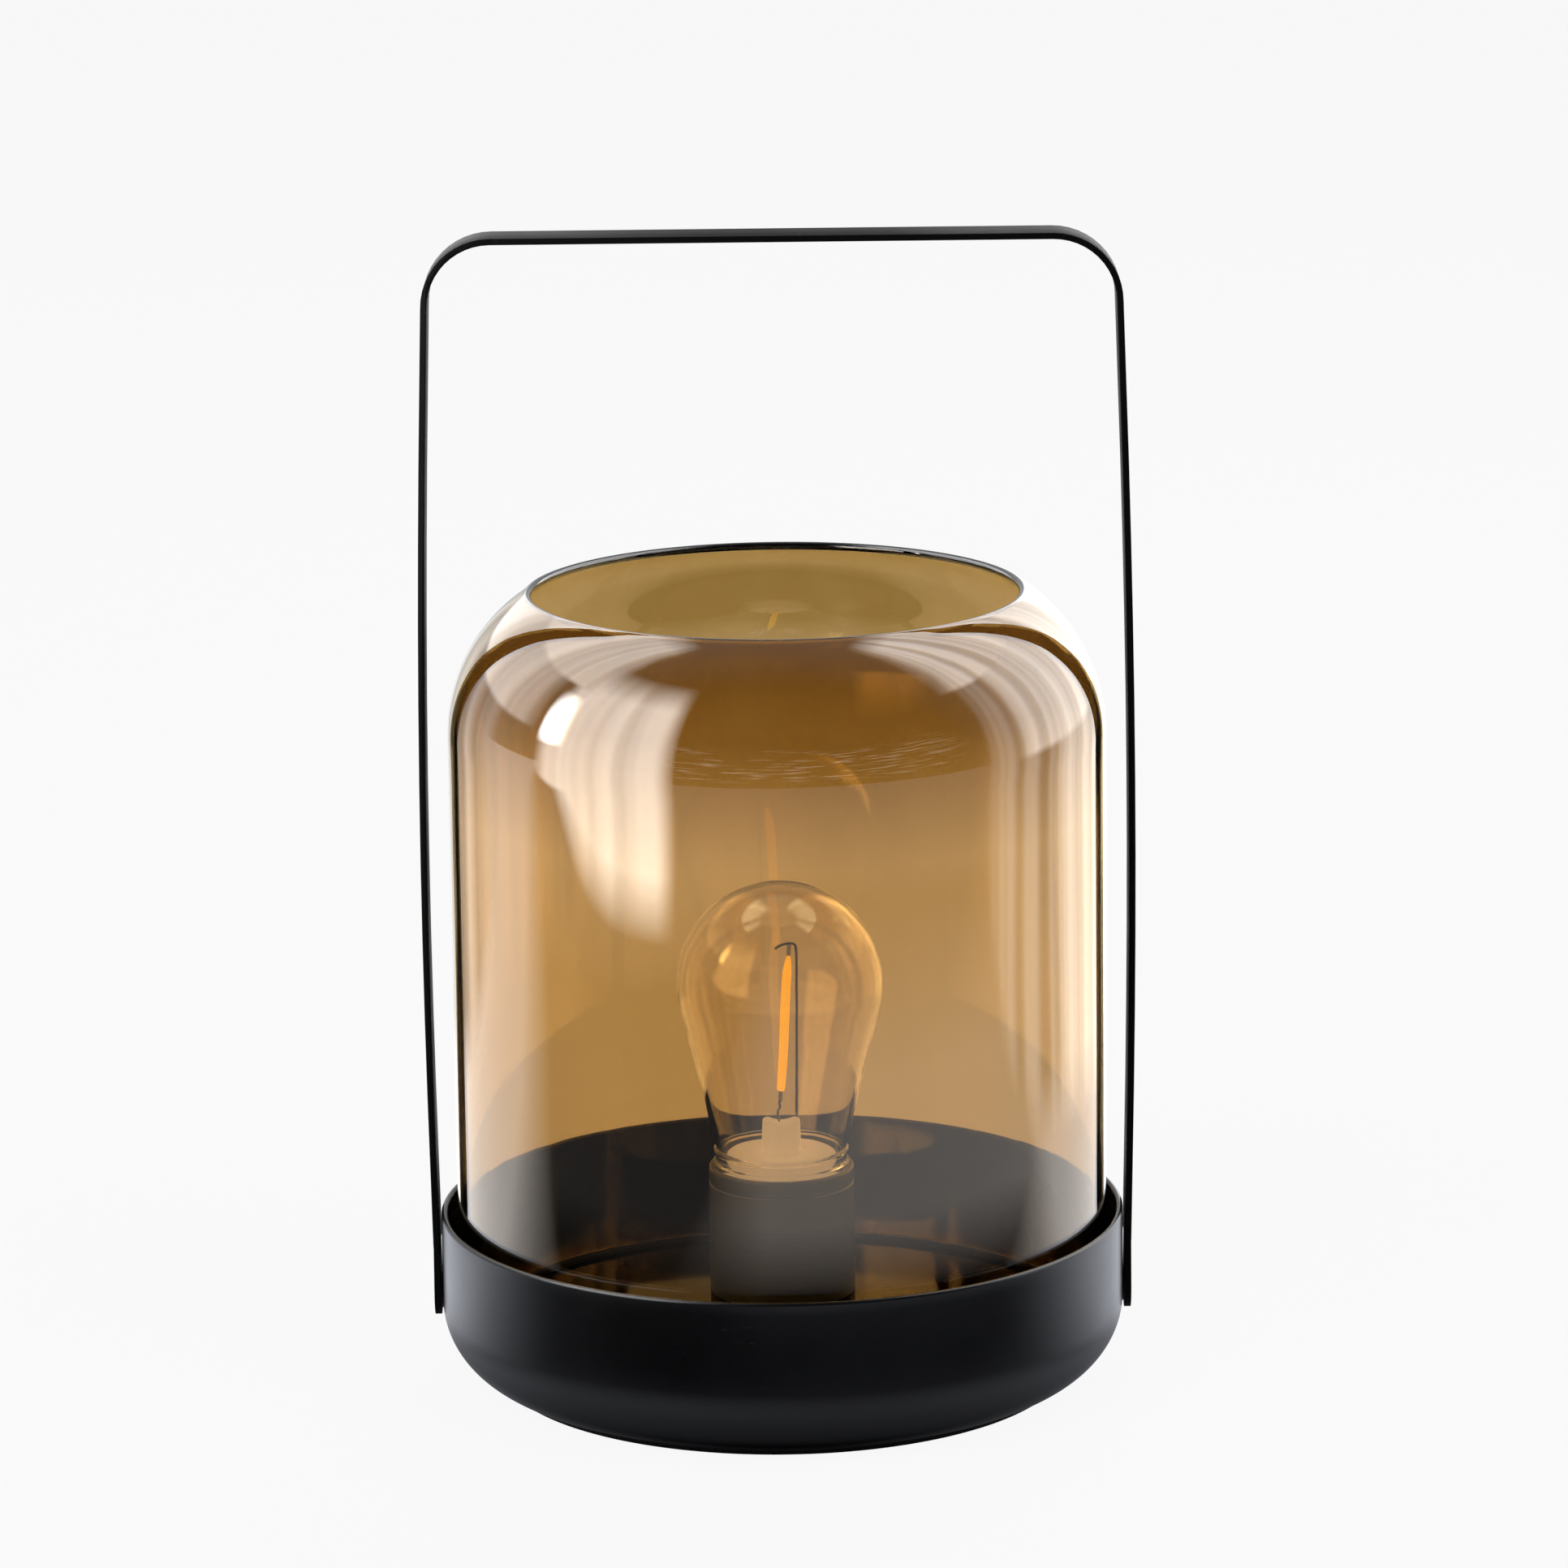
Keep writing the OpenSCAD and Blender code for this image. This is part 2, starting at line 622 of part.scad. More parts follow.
// The LED leads run from the board through the well's wall, up beside the contact rib,
// along the valley between two cells, and through the plateau up the post to the stem.
// side is 1 or -1.
function led_lead_path(side, joint_y) =
    let (y = valley_y + side * led_lead_gap / 2,
         stem_z = stem_disc_z - stem_cup_wall,
         x = side * led_lead_gap * 1.5,
         hole_x = lead_hole[0],
         rise = post_top_z - plateau_z)
    [[lead_end_x, joint_y, lead_z], [lead_end_x - 2, joint_y, lead_z],
     [plateau_r + 2.2, (joint_y + y) / 2, lead_z], [plateau_r + 0.2, y, lead_z],
     [well_r - 1.5, y, lead_z + 0.3], [well_r - 2.8, y, lead_z + 1.7], [well_r - 3.3, y, lead_z + 5],
     [well_r - 3.7, y, lead_top_z - 2], [well_r - 5, y, lead_top_z - 0.4], [contact_x, y, lead_top_z],
     [0.7 * contact_x, y, lead_top_z], [hole_x + 3.5, y, lead_top_z], [hole_x + 1.5, y, lead_top_z + 0.3],
     [hole_x + 0.4, y, lead_top_z + 1.6], [hole_x, y, plateau_z + 2],
     [hole_x - 0.5, y - 0.8, plateau_z + 0.24 * rise], [3.5 + x / 2, y - 3, plateau_z + 0.47 * rise],
     [1.5 + x, 2.5, plateau_z + 0.75 * rise], [x, 0.6, stem_z - 4], [x, 0, stem_z - 1.5], [x, 0, stem_z]];

module led_lead_red() {
    color([0.7, 0.05, 0.05]) wire(led_lead_path(1, led_joint_y[0]), lead_r, [0.05, 1, 0]);
}

module led_lead_black() {
    color([0.03, 0.03, 0.03]) wire(led_lead_path(-1, led_joint_y[1]), lead_r, [0.05, 1, 0]);
}

module battery_lead_red() {
    y = -cell_pitch;
    dy = red_joint_y - y;
    color([0.7, 0.05, 0.05]) wire([
        [contact_x + plate_t, y, lead_z], [contact_x + 4, y, lead_z], [well_r - 0.7, y + 0.1 * dy, lead_z],
        [plateau_r + 1, y + 0.5 * dy, lead_z], [lead_end_x - 2, red_joint_y, lead_z],
        [lead_end_x, red_joint_y, lead_z]], lead_r, [0, 0, 1]);
}

// The black battery lead goes round the well, under the floor.
module battery_lead_black() {
    around_r = plateau_r + 1.6;
    y = cell_pitch;
    color([0.03, 0.03, 0.03]) wire(concat(
        [[-contact_x - plate_t, y, lead_z], [-contact_x - 4, y, lead_z],
         [-well_r + 1.2, y + 0.3, lead_z]],
        [for (a = [153:-9:27]) [around_r * cos(a), around_r * sin(a), lead_z]],
        [[plateau_r + 0.8, black_joint_y + 1.6, lead_z], [lead_end_x - 1.5, black_joint_y + 0.2, lead_z],
         [lead_end_x, black_joint_y, lead_z]]),
        lead_r, [0, 0, 1]);
}

// ---------------------------------------------------------------- glass, post and bulb

// Blown glass: a cylinder, a round shoulder and a fire-polished lip.
module glass_shade() {
    centre_r = glass_r - shoulder_r;
    lip_r = shoulder_r - glass_t / 2;
    color([0.75, 0.52, 0.25, 0.4]) rotate_extrude() polygon(concat(
        [[glass_r - glass_t, seat_z], [glass_r, seat_z]],
        arc(centre_r, shoulder_z, shoulder_r, 0, shoulder_a, 20),
        arc(centre_r + lip_r * cos(shoulder_a), shoulder_z + lip_r * sin(shoulder_a),
            glass_t / 2, shoulder_a + lip_turn, shoulder_a + 180 - lip_turn, 8),
        arc(centre_r, shoulder_z, shoulder_r - glass_t, shoulder_a, 0, 20)));
}

// Tube that carries the bulb, with an inner lip at its top and two screw bosses.
module lamp_post() {
    round_r = 0.6;
    web_low_z = plateau_z + 1.5;
    color([0.05, 0.05, 0.055]) difference() {
        union() {
            rotate_extrude() polygon(concat(
                [[post_in_r, plateau_z], [post_r, plateau_z]],
                arc(post_r - round_r, post_top_z - round_r, round_r, 0, 90, 5),
                [[post_lip_r, post_top_z], [post_lip_r, post_top_z - post_lip_t],
                 [post_in_r, post_top_z - post_lip_t - 0.8]]));
            at_post_screws() translate([0, 0, plateau_z]) cylinder(r = post_boss_r, h = post_boss_h);
            for (side = [0, 180]) rotate(side + atan2(post_screw_at[1], post_screw_at[0]))
                block([norm(post_screw_at), -post_wall / 2, web_low_z],
                      [post_in_r + post_wall / 2, post_wall / 2, plateau_z + post_boss_h]);
        }
        at_post_screws() translate([0, 0, plateau_z - cut]) cylinder(r = tap_r + pin_gap, h = post_boss_h);
    }
}

// Two screws from inside the battery well into the post.
module post_screws() {
    color("silver") at_post_screws() difference() {
        union() {
            translate([0, 0, well_top_z - post_head_t]) cylinder(r = post_head_r, h = post_head_t);
            translate([0, 0, well_top_z - 0.1]) cylinder(r = tap_r, h = plateau_t + 0.7 * post_boss_h);
        }
        for (turn = [0, 90]) rotate(turn)
            translate([-0.6 * post_head_r, -0.3, well_top_z - post_head_t - cut])
                cube([1.2 * post_head_r, 0.6, cut + 0.6 * post_head_t]);
    }
}

// Clear bulb: a spigot in the post, a ringed collar, a cone and a round end.
module bulb_envelope() {
    z = post_top_z;
    touch_a = touch_angle(bulb_r, neck_r, bulb_zc - neck_z);
    inner_neck_r = neck_r - bulb_wall;
    color([0.95, 0.93, 0.88, 0.3]) rotate_extrude() polygon(concat(
        [[spigot_r - spigot_wall, z - spigot_h], [spigot_r, z - spigot_h], [spigot_r, z],
         [foot_flange_r, z], [foot_flange_r, z + 0.9], [foot_flange_r - 0.5, z + 1.3],
         [foot_flange_r - 0.5, z + 3.1], [foot_flange_r - 0.2, z + 3.5], [foot_flange_r - 0.2, z + 3.9],
         [neck_r, neck_z]],
        arc(0, bulb_zc, bulb_r, touch_a, 90, 28),
        arc(0, bulb_zc, bulb_r - bulb_wall, 90, touch_a, 28),
        [[inner_neck_r, neck_z], [spigot_r - spigot_wall, z]]));
}

// Angle on a circle of radius r at which a cone touches it. The cone starts at radius r_low, h
// below the circle's centre.
function touch_angle(r, r_low, h) = acos(r / norm([r_low, h])) - atan2(h, r_low);

// White stem: a cup in the bulb's neck with a column for the filament.
module bulb_stem() {
    z = post_top_z - spigot_h;
    cup_z = stem_disc_z - stem_cup_wall;
    color([0.93, 0.9, 0.85]) rotate_extrude() polygon([
        [0, cup_z], [stem_r - stem_cup_wall, cup_z], [stem_r - stem_cup_wall, z],
        [stem_r, z], [stem_r, stem_disc_z - stem_bevel], [stem_r - stem_bevel, stem_disc_z],
        [stem_column_r + stem_bevel / 2, stem_disc_z], [stem_column_r, stem_z - stem_bevel],
        [stem_column_r - stem_bevel, stem_z],
        [0, stem_z]]);
}

// Lays its children along the leaning line of the filament, from its lower end up.
module along_filament() {
    translate([0, 0, filament_low_z]) rotate([0, asin(filament_lean / filament_l), 0]) children();
}

// Phosphor-coated LED strip.
module led_filament() {
    half = [1.15, 0.8];
    color([1, 0.6, 0.1]) along_filament() linear_extrude(filament_l)
        polygon([for (a = [0:20:340]) [half[0] * cos(a), half[1] * sin(a)]]);
}

// Metal end tabs of the filament.
module filament_tabs() {
    color("silver") along_filament() for (z = [-filament_tab_l, filament_l])
        translate([-0.45, -0.15, z]) cube([0.9, 0.3, filament_tab_l]);
}

// Lower lead from the stem to the filament, and the support wire that hooks over its top.
module filament_wires() {
    low_z = filament_low_z - filament_tab_l;
    high_z = filament_low_z + filament_l + filament_tab_l + 0.35;
    color("silver") {
        wire([[-0.5, 0, stem_z], [-0.5, 0, stem_z + 1.4], [-0.16, 0, low_z - 0.05]], wire_r, [0, 1, 0]);
        wire([[support_x, 0, stem_z], [support_x, 0, filament_low_z], [support_x, 0, high_z - 1.2],
              [support_x - 0.3, 0, high_z - 0.3], [support_x - 1, 0, high_z], [1.6, 0, high_z],
              [0, 0, high_z - 0.4], [-1, 0, high_z - 1.1]], wire_r, [0, 1, 0]);
    }
}

// ---------------------------------------------------------------- handle

// Outer face of a leg at height z: straight to above the pivot, then a shallow bow and lean.
function leg_x(z) =
    let (t = max(0, (z - pivot_flat_z) / (leg_top_z - pivot_flat_z)))
    strip_out_x + leg_bow * sin(180 * t) - leg_lean * t * t;

// Outline of one half of the handle, inset from its outer face.
function half_handle(inset) = concat(
    [for (z = [pivot_z - strip_w, pivot_flat_z]) [leg_x(z) - inset, z]],
    [for (i = [1:11]) let (z = pivot_flat_z + (leg_top_z - pivot_flat_z) * i / 12) [leg_x(z) - inset, z]],
    arc(leg_x(leg_top_z) - handle_corner_r, leg_top_z, handle_corner_r - inset, 0, 90, 12));

function flipped(points) = [for (i = [len(points) - 1:-1:0]) [-points[i][0], points[i][1]]];

// One bent steel strip with round ends and countersunk pivot holes.
module handle() {
    color([0.02, 0.02, 0.02]) difference() {
        rotate([90, 0, 0]) translate([0, 0, -strip_w / 2]) linear_extrude(strip_w)
            difference() {
                polygon(concat(half_handle(0), flipped(half_handle(0))));
                polygon(concat(half_handle(strip_t), flipped(half_handle(strip_t))));
                translate([-bowl_r, -bowl_r]) square([2 * bowl_r, bowl_r + pivot_z - strip_w + 0.01]);
            }
        mirrored_x() translate([bowl_r - 5, 0, pivot_z]) rotate([0, 90, 0]) {
            difference() {
                translate([-0.001, -strip_w, -cut]) cube([strip_w + cut, 2 * strip_w, 2 * strip_w]);
                translate([0, 0, -2 * cut]) cylinder(r = strip_w / 2, h = 2 * strip_w + 4 * cut);
            }
            cylinder(r = pivot_r + pin_gap, h = 2 * strip_w);
        }
        mirrored_x() translate([strip_out_x - pivot_head_sink, 0, pivot_z]) rotate([0, -90, 0]) {
            cylinder(r1 = pivot_head_r + head_gap, r2 = pivot_r + head_gap, h = pivot_head_t);
            translate([0, 0, -cut]) cylinder(r = pivot_head_r + head_gap, h = cut + 0.001);
        }
    }
}

// Countersunk pivot screws. They end inside the threaded inserts.
module handle_screws() {
    color([0.05, 0.05, 0.05]) mirrored_x()
        translate([strip_out_x - pivot_head_sink, 0, pivot_z]) rotate([0, -90, 0])
            countersunk_screw(pivot_r, pivot_head_r, pivot_head_t, strip_out_x - insert_x - 0.1);
}

// Thin nylon washers between the bowl and the strip.
module handle_washers() {
    color([0.1, 0.1, 0.1]) mirrored_x() translate([bowl_r + washer_gap, 0, pivot_z]) rotate([0, 90, 0])
        difference() {
            cylinder(r = washer_r, h = washer_t);
            translate([0, 0, -cut]) cylinder(r = pivot_r + pin_gap, h = washer_t + 2 * cut);
        }
}

// Flanged threaded inserts, pressed into the bowl's wall from inside.
module handle_inserts() {
    color("goldenrod") mirrored_x() translate([insert_x, 0, pivot_z]) rotate([0, 90, 0])
        difference() {
            union() {
                cylinder(r = insert_flange_r, h = insert_flange_t);
                cylinder(r = insert_r, h = bowl_r - insert_sink - insert_x);
            }
            translate([0, 0, -cut]) cylinder(r = pivot_r + pin_gap, h = bowl_r - insert_x + 2 * cut);
        }
}

// ---------------------------------------------------------------- assembly

bowl();
inner_housing();
glass_cushion();
glass_shade();
lamp_post();
post_screws();
bulb_envelope();
bulb_stem();
led_filament();
filament_tabs();
filament_wires();
handle();
handle_screws();
handle_washers();
handle_inserts();
underside_cover();
cover_screws();
foot_ring();
battery_door();
battery_1();
battery_2();
battery_3();
battery_springs();
contact_plates();
circuit_board();
timer_chip();
board_parts();
solder_joints();
switch_body();
switch_slider();
led_lead_red();
led_lead_black();
battery_lead_red();
battery_lead_black();
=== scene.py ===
"""Battery lantern: an amber glass standing in a black steel bowl, with a strip handle and a
clear bulb on a post. The sections follow the lantern as it is put together, from its foot up."""
import math

import bmesh
import bpy
import numpy as np
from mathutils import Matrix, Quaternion, Vector


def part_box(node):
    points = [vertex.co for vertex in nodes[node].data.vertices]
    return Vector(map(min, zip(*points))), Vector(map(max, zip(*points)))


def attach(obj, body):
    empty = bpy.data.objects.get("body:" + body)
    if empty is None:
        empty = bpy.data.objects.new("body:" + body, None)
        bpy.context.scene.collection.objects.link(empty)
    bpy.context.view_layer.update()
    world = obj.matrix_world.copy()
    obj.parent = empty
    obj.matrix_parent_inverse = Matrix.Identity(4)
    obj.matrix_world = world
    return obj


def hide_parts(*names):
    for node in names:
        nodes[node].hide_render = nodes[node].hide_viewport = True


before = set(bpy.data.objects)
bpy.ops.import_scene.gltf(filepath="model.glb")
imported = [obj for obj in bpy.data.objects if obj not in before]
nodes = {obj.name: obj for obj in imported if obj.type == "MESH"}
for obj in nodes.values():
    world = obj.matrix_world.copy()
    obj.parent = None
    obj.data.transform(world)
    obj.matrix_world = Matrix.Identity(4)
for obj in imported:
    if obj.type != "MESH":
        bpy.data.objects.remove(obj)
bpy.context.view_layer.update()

# ---------------------------------------------------------------- camera
# A long lens 1.6 m in front of the lantern, a little above the mouth of the glass. It looks along
# +Y and down at the middle of the glass.
MM = 0.001
image_px = 1932
focal_px = 8539.5
sensor_w = 36.0
look_at = Vector((1.56, 0.0, 141.04)) * MM
camera_distance = 1606.5 * MM
camera_height = math.radians(12.94)
camera_roll = math.radians(-0.63)

camera_data = bpy.data.cameras.new("camera")
camera_data.sensor_width = sensor_w
camera_data.lens = focal_px / image_px * sensor_w
camera_data.clip_end = 50.0    # past the floor's far corners
camera = bpy.data.objects.new("camera", camera_data)
away = Vector((0.0, -math.cos(camera_height), math.sin(camera_height)))
camera.location = look_at + away * camera_distance
aim = (-away).to_track_quat("-Z", "Y") @ Quaternion((0.0, 0.0, 1.0), camera_roll)
camera.rotation_mode = "QUATERNION"
camera.rotation_quaternion = aim
bpy.context.scene.collection.objects.link(camera)
bpy.context.scene.camera = camera
bpy.context.scene.view_settings.view_transform = "Standard"

# ---------------------------------------------------------------- studio light
# A pale sweep in a dim room. Curved cards that glow in upright bars stand low on both sides:
# the glass mirrors them as streaks, and the black bowl takes its sheen from them. Seen straight
# or through glass, all is the pale background; the room and the cards show where they are mirrored.
background_white = 0.94


def node(tree, kind, **sockets):
    """A new node of that kind. Each socket that is given is set or linked, by its name or, after
    an underscore, by its number."""
    new = tree.nodes.new(kind)
    for name, value in sockets.items():
        socket = new.inputs[int(name[1:])] if name[0] == "_" else new.inputs[name.replace("_", " ")]
        if isinstance(value, bpy.types.NodeSocket):
            tree.links.new(value, socket)
        else:
            socket.default_value = value
    return new


def math_node(tree, operation, a, b=0.0):
    """The output of a Math node that takes numbers or sockets."""
    new = node(tree, "ShaderNodeMath", _0=a, _1=b)
    new.operation = operation
    return new.outputs[0]


def spread(tree, value, low, high, from_low=0.0, from_high=1.0):
    """Maps value from one range to another and holds it there."""
    new = node(tree, "ShaderNodeMapRange", Value=value)
    for socket, number in zip(("From Min", "From Max", "To Min", "To Max"),
                              (from_low, from_high, low, high)):
        new.inputs[socket].default_value = number
    return new.outputs[0]


def upright_bars(tree):
    """Bars over the azimuth about the lantern's axis, 0 to 1: upright on a card, radial on the
    floor, so that the glass mirrors both as one set of streaks."""
    place = node(tree, "ShaderNodeTexCoord").outputs["Object"]
    axes = node(tree, "ShaderNodeSeparateXYZ", _0=place)
    forward = math_node(tree, "MULTIPLY", axes.outputs["Y"], -1.0)
    azimuth = math_node(tree, "ARCTAN2", axes.outputs["X"], forward)
    noise = node(tree, "ShaderNodeTexNoise")
    noise.noise_dimensions = "1D"
    tree.links.new(azimuth, noise.inputs["W"])
    noise.inputs["Scale"].default_value = 5.0
    noise.inputs["Detail"].default_value = 2.0
    return spread(tree, noise.outputs["Fac"], 0.0, 1.0, 0.4, 0.6)


def mirrored_ray(tree):
    """1 for a ray that a glossy surface has turned back, and 0 for one seen straight or through
    glass."""
    path = node(tree, "ShaderNodeLightPath")
    return math_node(tree, "GREATER_THAN", path.outputs["Glossy Depth"], 0.5)


world = bpy.data.worlds.new("studio")
world.use_nodes = True
bpy.context.scene.world = world
tree = world.node_tree
tree.nodes.clear()
direction = node(tree, "ShaderNodeTexCoord").outputs["Generated"]
along = node(tree, "ShaderNodeSeparateXYZ", _0=direction)
flat_streaks = node(tree, "ShaderNodeMapping", Vector=direction, Scale=(2.5, 2.5, 30.0))
slats = node(tree, "ShaderNodeTexNoise", Vector=flat_streaks.outputs[0], Scale=2.0, Detail=4.0)
slat_band = math_node(tree, "MULTIPLY", spread(tree, along.outputs["Z"], 0.0, 1.0, 0.03, 0.1),
                      spread(tree, along.outputs["Z"], 1.0, 0.0, 0.3, 0.42))
slat = math_node(tree, "MULTIPLY", spread(tree, slats.outputs["Fac"], 0.0, 1.6, 0.54, 0.72), slat_band)
in_front = spread(tree, along.outputs["Y"], 1.0, 0.0, -0.7, -0.3)
room = math_node(tree, "ADD", spread(tree, along.outputs["Y"], 0.03, 0.7, -0.4, 0.8),
                 math_node(tree, "MULTIPLY", slat, in_front))
light_path = node(tree, "ShaderNodeLightPath")
sees_white = math_node(tree, "MAXIMUM", light_path.outputs["Is Camera Ray"],
                       light_path.outputs["Is Transmission Ray"])
straight = math_node(tree, "MULTIPLY", sees_white, math_node(tree, "SUBTRACT", 1.0, mirrored_ray(tree)))
strength = node(tree, "ShaderNodeMix", _0=straight, _2=room, _3=background_white)
sky = node(tree, "ShaderNodeBackground", Color=(1.0, 1.0, 1.0, 1.0), Strength=strength.outputs[0])
node(tree, "ShaderNodeOutputWorld", Surface=sky.outputs[0])


def soft_box(name, place, target, width, height, watts, tint=(1.0, 1.0, 1.0)):
    """A rectangular lamp at place that faces target, both in metres. It lights things, but
    isn't seen or mirrored itself."""
    data = bpy.data.lights.new(name, "AREA")
    data.shape = "RECTANGLE"
    data.size, data.size_y = width, height
    data.energy = watts
    data.color = tint
    lamp = bpy.data.objects.new(name, data)
    lamp.location = place
    lamp.rotation_mode = "QUATERNION"
    lamp.rotation_quaternion = (Vector(target) - Vector(place)).to_track_quat("-Z", "Y")
    lamp.visible_camera = lamp.visible_transmission = lamp.visible_glossy = False
    bpy.context.scene.collection.objects.link(lamp)


def grid_faces(rows, columns, close_rows, close_columns):
    """Four-cornered faces over a grid of rows x columns points, joined up at the ends if asked."""
    i = np.arange(rows if close_rows else rows - 1)[:, None]
    j = np.arange(columns if close_columns else columns - 1)[None, :]
    below, beside = (i + 1) % rows, (j + 1) % columns
    quads = [i * columns + j, below * columns + j, below * columns + beside, i * columns + beside]
    return np.stack([np.broadcast_to(q, (i.size, j.size)).ravel() for q in quads], axis=1)


card_middle = 0.11


def card(name, around, up, glow, bars, tint=(1.0, 1.0, 1.0), slant=(0.0, 0.0), soft=0.12,
         reach=0.3):
    """A glowing patch of a ball about the glass's middle: x = r cos e sin a, y = -r cos e cos a
    and z = middle + r sin e. The azimuth a is 0 in front and positive to the right, and e is the
    elevation, both in degrees. bars is the share of the glow that stands in upright bars, slant
    lifts the lower edge towards the patch's left and right ends, and soft is the share of its
    width over which each side fades. Cards that overlap need a reach of their own."""
    columns, rows = 33, 13
    u, v = np.meshgrid(np.linspace(0, 1, columns), np.linspace(0, 1, rows), indexing="ij")
    a = np.radians(around[0] + (around[1] - around[0]) * u)
    low = up[0] + slant[0] * (1 - u) ** 4 + slant[1] * u ** 4
    e = np.radians(low + (up[1] - low) * v)
    points = reach * np.stack([np.cos(e) * np.sin(a), -np.cos(e) * np.cos(a), np.sin(e)], axis=-1)
    points[..., 2] += card_middle
    mesh = bpy.data.meshes.new(name)
    faces = grid_faces(columns, rows, False, False)
    mesh.from_pydata(points.reshape(-1, 3).tolist(), [], faces.tolist())
    corner = np.zeros(len(mesh.loops), int)
    mesh.loops.foreach_get("vertex_index", corner)
    uv = np.stack([u.ravel()[corner], v.ravel()[corner]], axis=1)
    mesh.uv_layers.new(name="across").data.foreach_set("uv", uv.ravel())
    piece = bpy.data.objects.new(name, mesh)
    piece.visible_camera = piece.visible_diffuse = piece.visible_shadow = False
    bpy.context.scene.collection.objects.link(piece)
    material = bpy.data.materials.new(name)
    material.use_nodes = True
    tree = material.node_tree
    tree.nodes.clear()
    place = node(tree, "ShaderNodeTexCoord").outputs["UV"]
    axes = node(tree, "ShaderNodeSeparateXYZ", _0=place)
    other_side = math_node(tree, "SUBTRACT", 1.0, axes.outputs["X"])
    side = math_node(tree, "MINIMUM", axes.outputs["X"], other_side)
    top_fade = spread(tree, axes.outputs["Y"], 1.0, 0.0, min(0.8, 1 - soft), 1.0)
    low_fade = spread(tree, axes.outputs["Y"], 0.0, 1.0, 0.0, 0.4 * soft)
    fade = math_node(tree, "MULTIPLY", spread(tree, side, 0.0, 1.0, 0.0, soft),
                     math_node(tree, "MULTIPLY", top_fade, low_fade))
    bar = spread(tree, upright_bars(tree), 1.0 - bars, 1.0)
    light = node(tree, "ShaderNodeEmission", Color=(*tint, 1.0),
                 Strength=math_node(tree, "MULTIPLY", bar, glow))
    unseen = node(tree, "ShaderNodeBsdfTransparent")
    shown = node(tree, "ShaderNodeMixShader", _0=math_node(tree, "MULTIPLY", fade, mirrored_ray(tree)),
                 _1=unseen.outputs[0], _2=light.outputs[0])
    node(tree, "ShaderNodeOutputMaterial", Surface=shown.outputs[0])
    mesh.materials.append(material)


middle = (0.0, 0.0, card_middle)
soft_box("key", (-0.9, -1.2, 1.5), middle, 1.2, 0.9, 22.0, (1.0, 0.98, 0.95))
soft_box("fill", (0.9, -0.6, 1.2), middle, 0.8, 0.8, 9.0, (0.97, 0.98, 1.0))
soft_box("rear", (0.3, 1.2, 1.3), middle, 1.0, 0.6, 9.0)

floor_edge = -21.5    # where a card of the usual reach meets the floor
cool = (0.96, 0.98, 1.0)
card("left_window", (-82, -31), (-8.5, 56), 6.3, 0.25, slant=(12.0, 0.0))
card("left_glint", (-82, -70), (17, 40), 45.0, 0.0, soft=0.5, reach=0.282)
card("left_card", (-168, -101), (floor_edge, 60), 1.35, 0.6, cool, slant=(0.0, 14.0))
card("left_shoulder", (-165, -84), (20, 56), 3.4, 0.3, cool, reach=0.294)
card("left_skylight", (-160, -66), (42, 76), 4.8, 0.3, reach=0.288)
card("right_card", (68, 106), (floor_edge, 60), 1.6, 0.7, cool, slant=(12.0, 0.0))
card("right_band", (94, 162), (floor_edge, 64), 2.9, 0.4, cool, reach=0.306)
card("right_shoulder", (80, 165), (6, 56), 4.4, 0.4, cool, reach=0.294)
card("right_skylight", (60, 165), (42, 76), 4.8, 0.5, reach=0.288)

# Floor: a matt sheet. The camera sees it nearly white, with the lantern's soft shadow. What is
# glossy sees painted light on it instead: a glow behind the lantern, a faint ring round its foot,
# a broad ring further out that is stronger to the right, and more glow far off. Close in front it
# stays dark, and right under the foot the glow is dimmed, a painted shade. From below it isn't
# there, so the lantern's underside can be looked at.
floor_half = 8.0
floor_mesh = bpy.data.meshes.new("floor")
floor_mesh.from_pydata([(-floor_half, -floor_half, 0), (floor_half, -floor_half, 0),
                        (floor_half, floor_half, 0), (-floor_half, floor_half, 0)], [], [(0, 1, 2, 3)])
floor = bpy.data.objects.new("floor", floor_mesh)
bpy.context.scene.collection.objects.link(floor)

floor_finish = bpy.data.materials.new("pale_floor")
floor_finish.use_nodes = True
tree = floor_finish.node_tree
tree.nodes.clear()
light_path = node(tree, "ShaderNodeLightPath")
sees_white = math_node(tree, "MAXIMUM", light_path.outputs["Is Camera Ray"],
                       light_path.outputs["Is Transmission Ray"])
place = node(tree, "ShaderNodeTexCoord").outputs["Object"]
flat = node(tree, "ShaderNodeVectorMath", _0=place)
flat.operation = "LENGTH"
axes = node(tree, "ShaderNodeSeparateXYZ", _0=place)
distance = flat.outputs["Value"]
# Painted light: glow patches that only mirrored rays see; their dimming near the foot is painted shade.
behind = math_node(tree, "MULTIPLY", spread(tree, axes.outputs["Y"], 0.0, 1.7, -0.07, 0.03),
                   spread(tree, distance, 0.3, 1.0, 0.085, 0.12))
right_half = spread(tree, axes.outputs["X"], 0.12, 0.8, -0.12, -0.02)
glow_ring_right = math_node(tree, "MULTIPLY", spread(tree, distance, 0.0, 1.0, 0.2, 0.27),
                           math_node(tree, "MULTIPLY", spread(tree, distance, 1.0, 0.3, 0.4, 0.6),
                                     right_half))
near = math_node(tree, "MULTIPLY", spread(tree, distance, 0.5, 0.0, 0.1, 0.14),
                 spread(tree, distance, 0.0, 1.0, 0.07, 0.09))
far = spread(tree, distance, 0.0, 0.42, 0.45, 0.65)
painted_floor_glow = math_node(tree, "MAXIMUM", math_node(tree, "MAXIMUM", behind, near),
                 math_node(tree, "MAXIMUM", glow_ring_right, far))
paper = node(tree, "ShaderNodeBsdfDiffuse", Color=(0.2, 0.2, 0.2, 1.0))
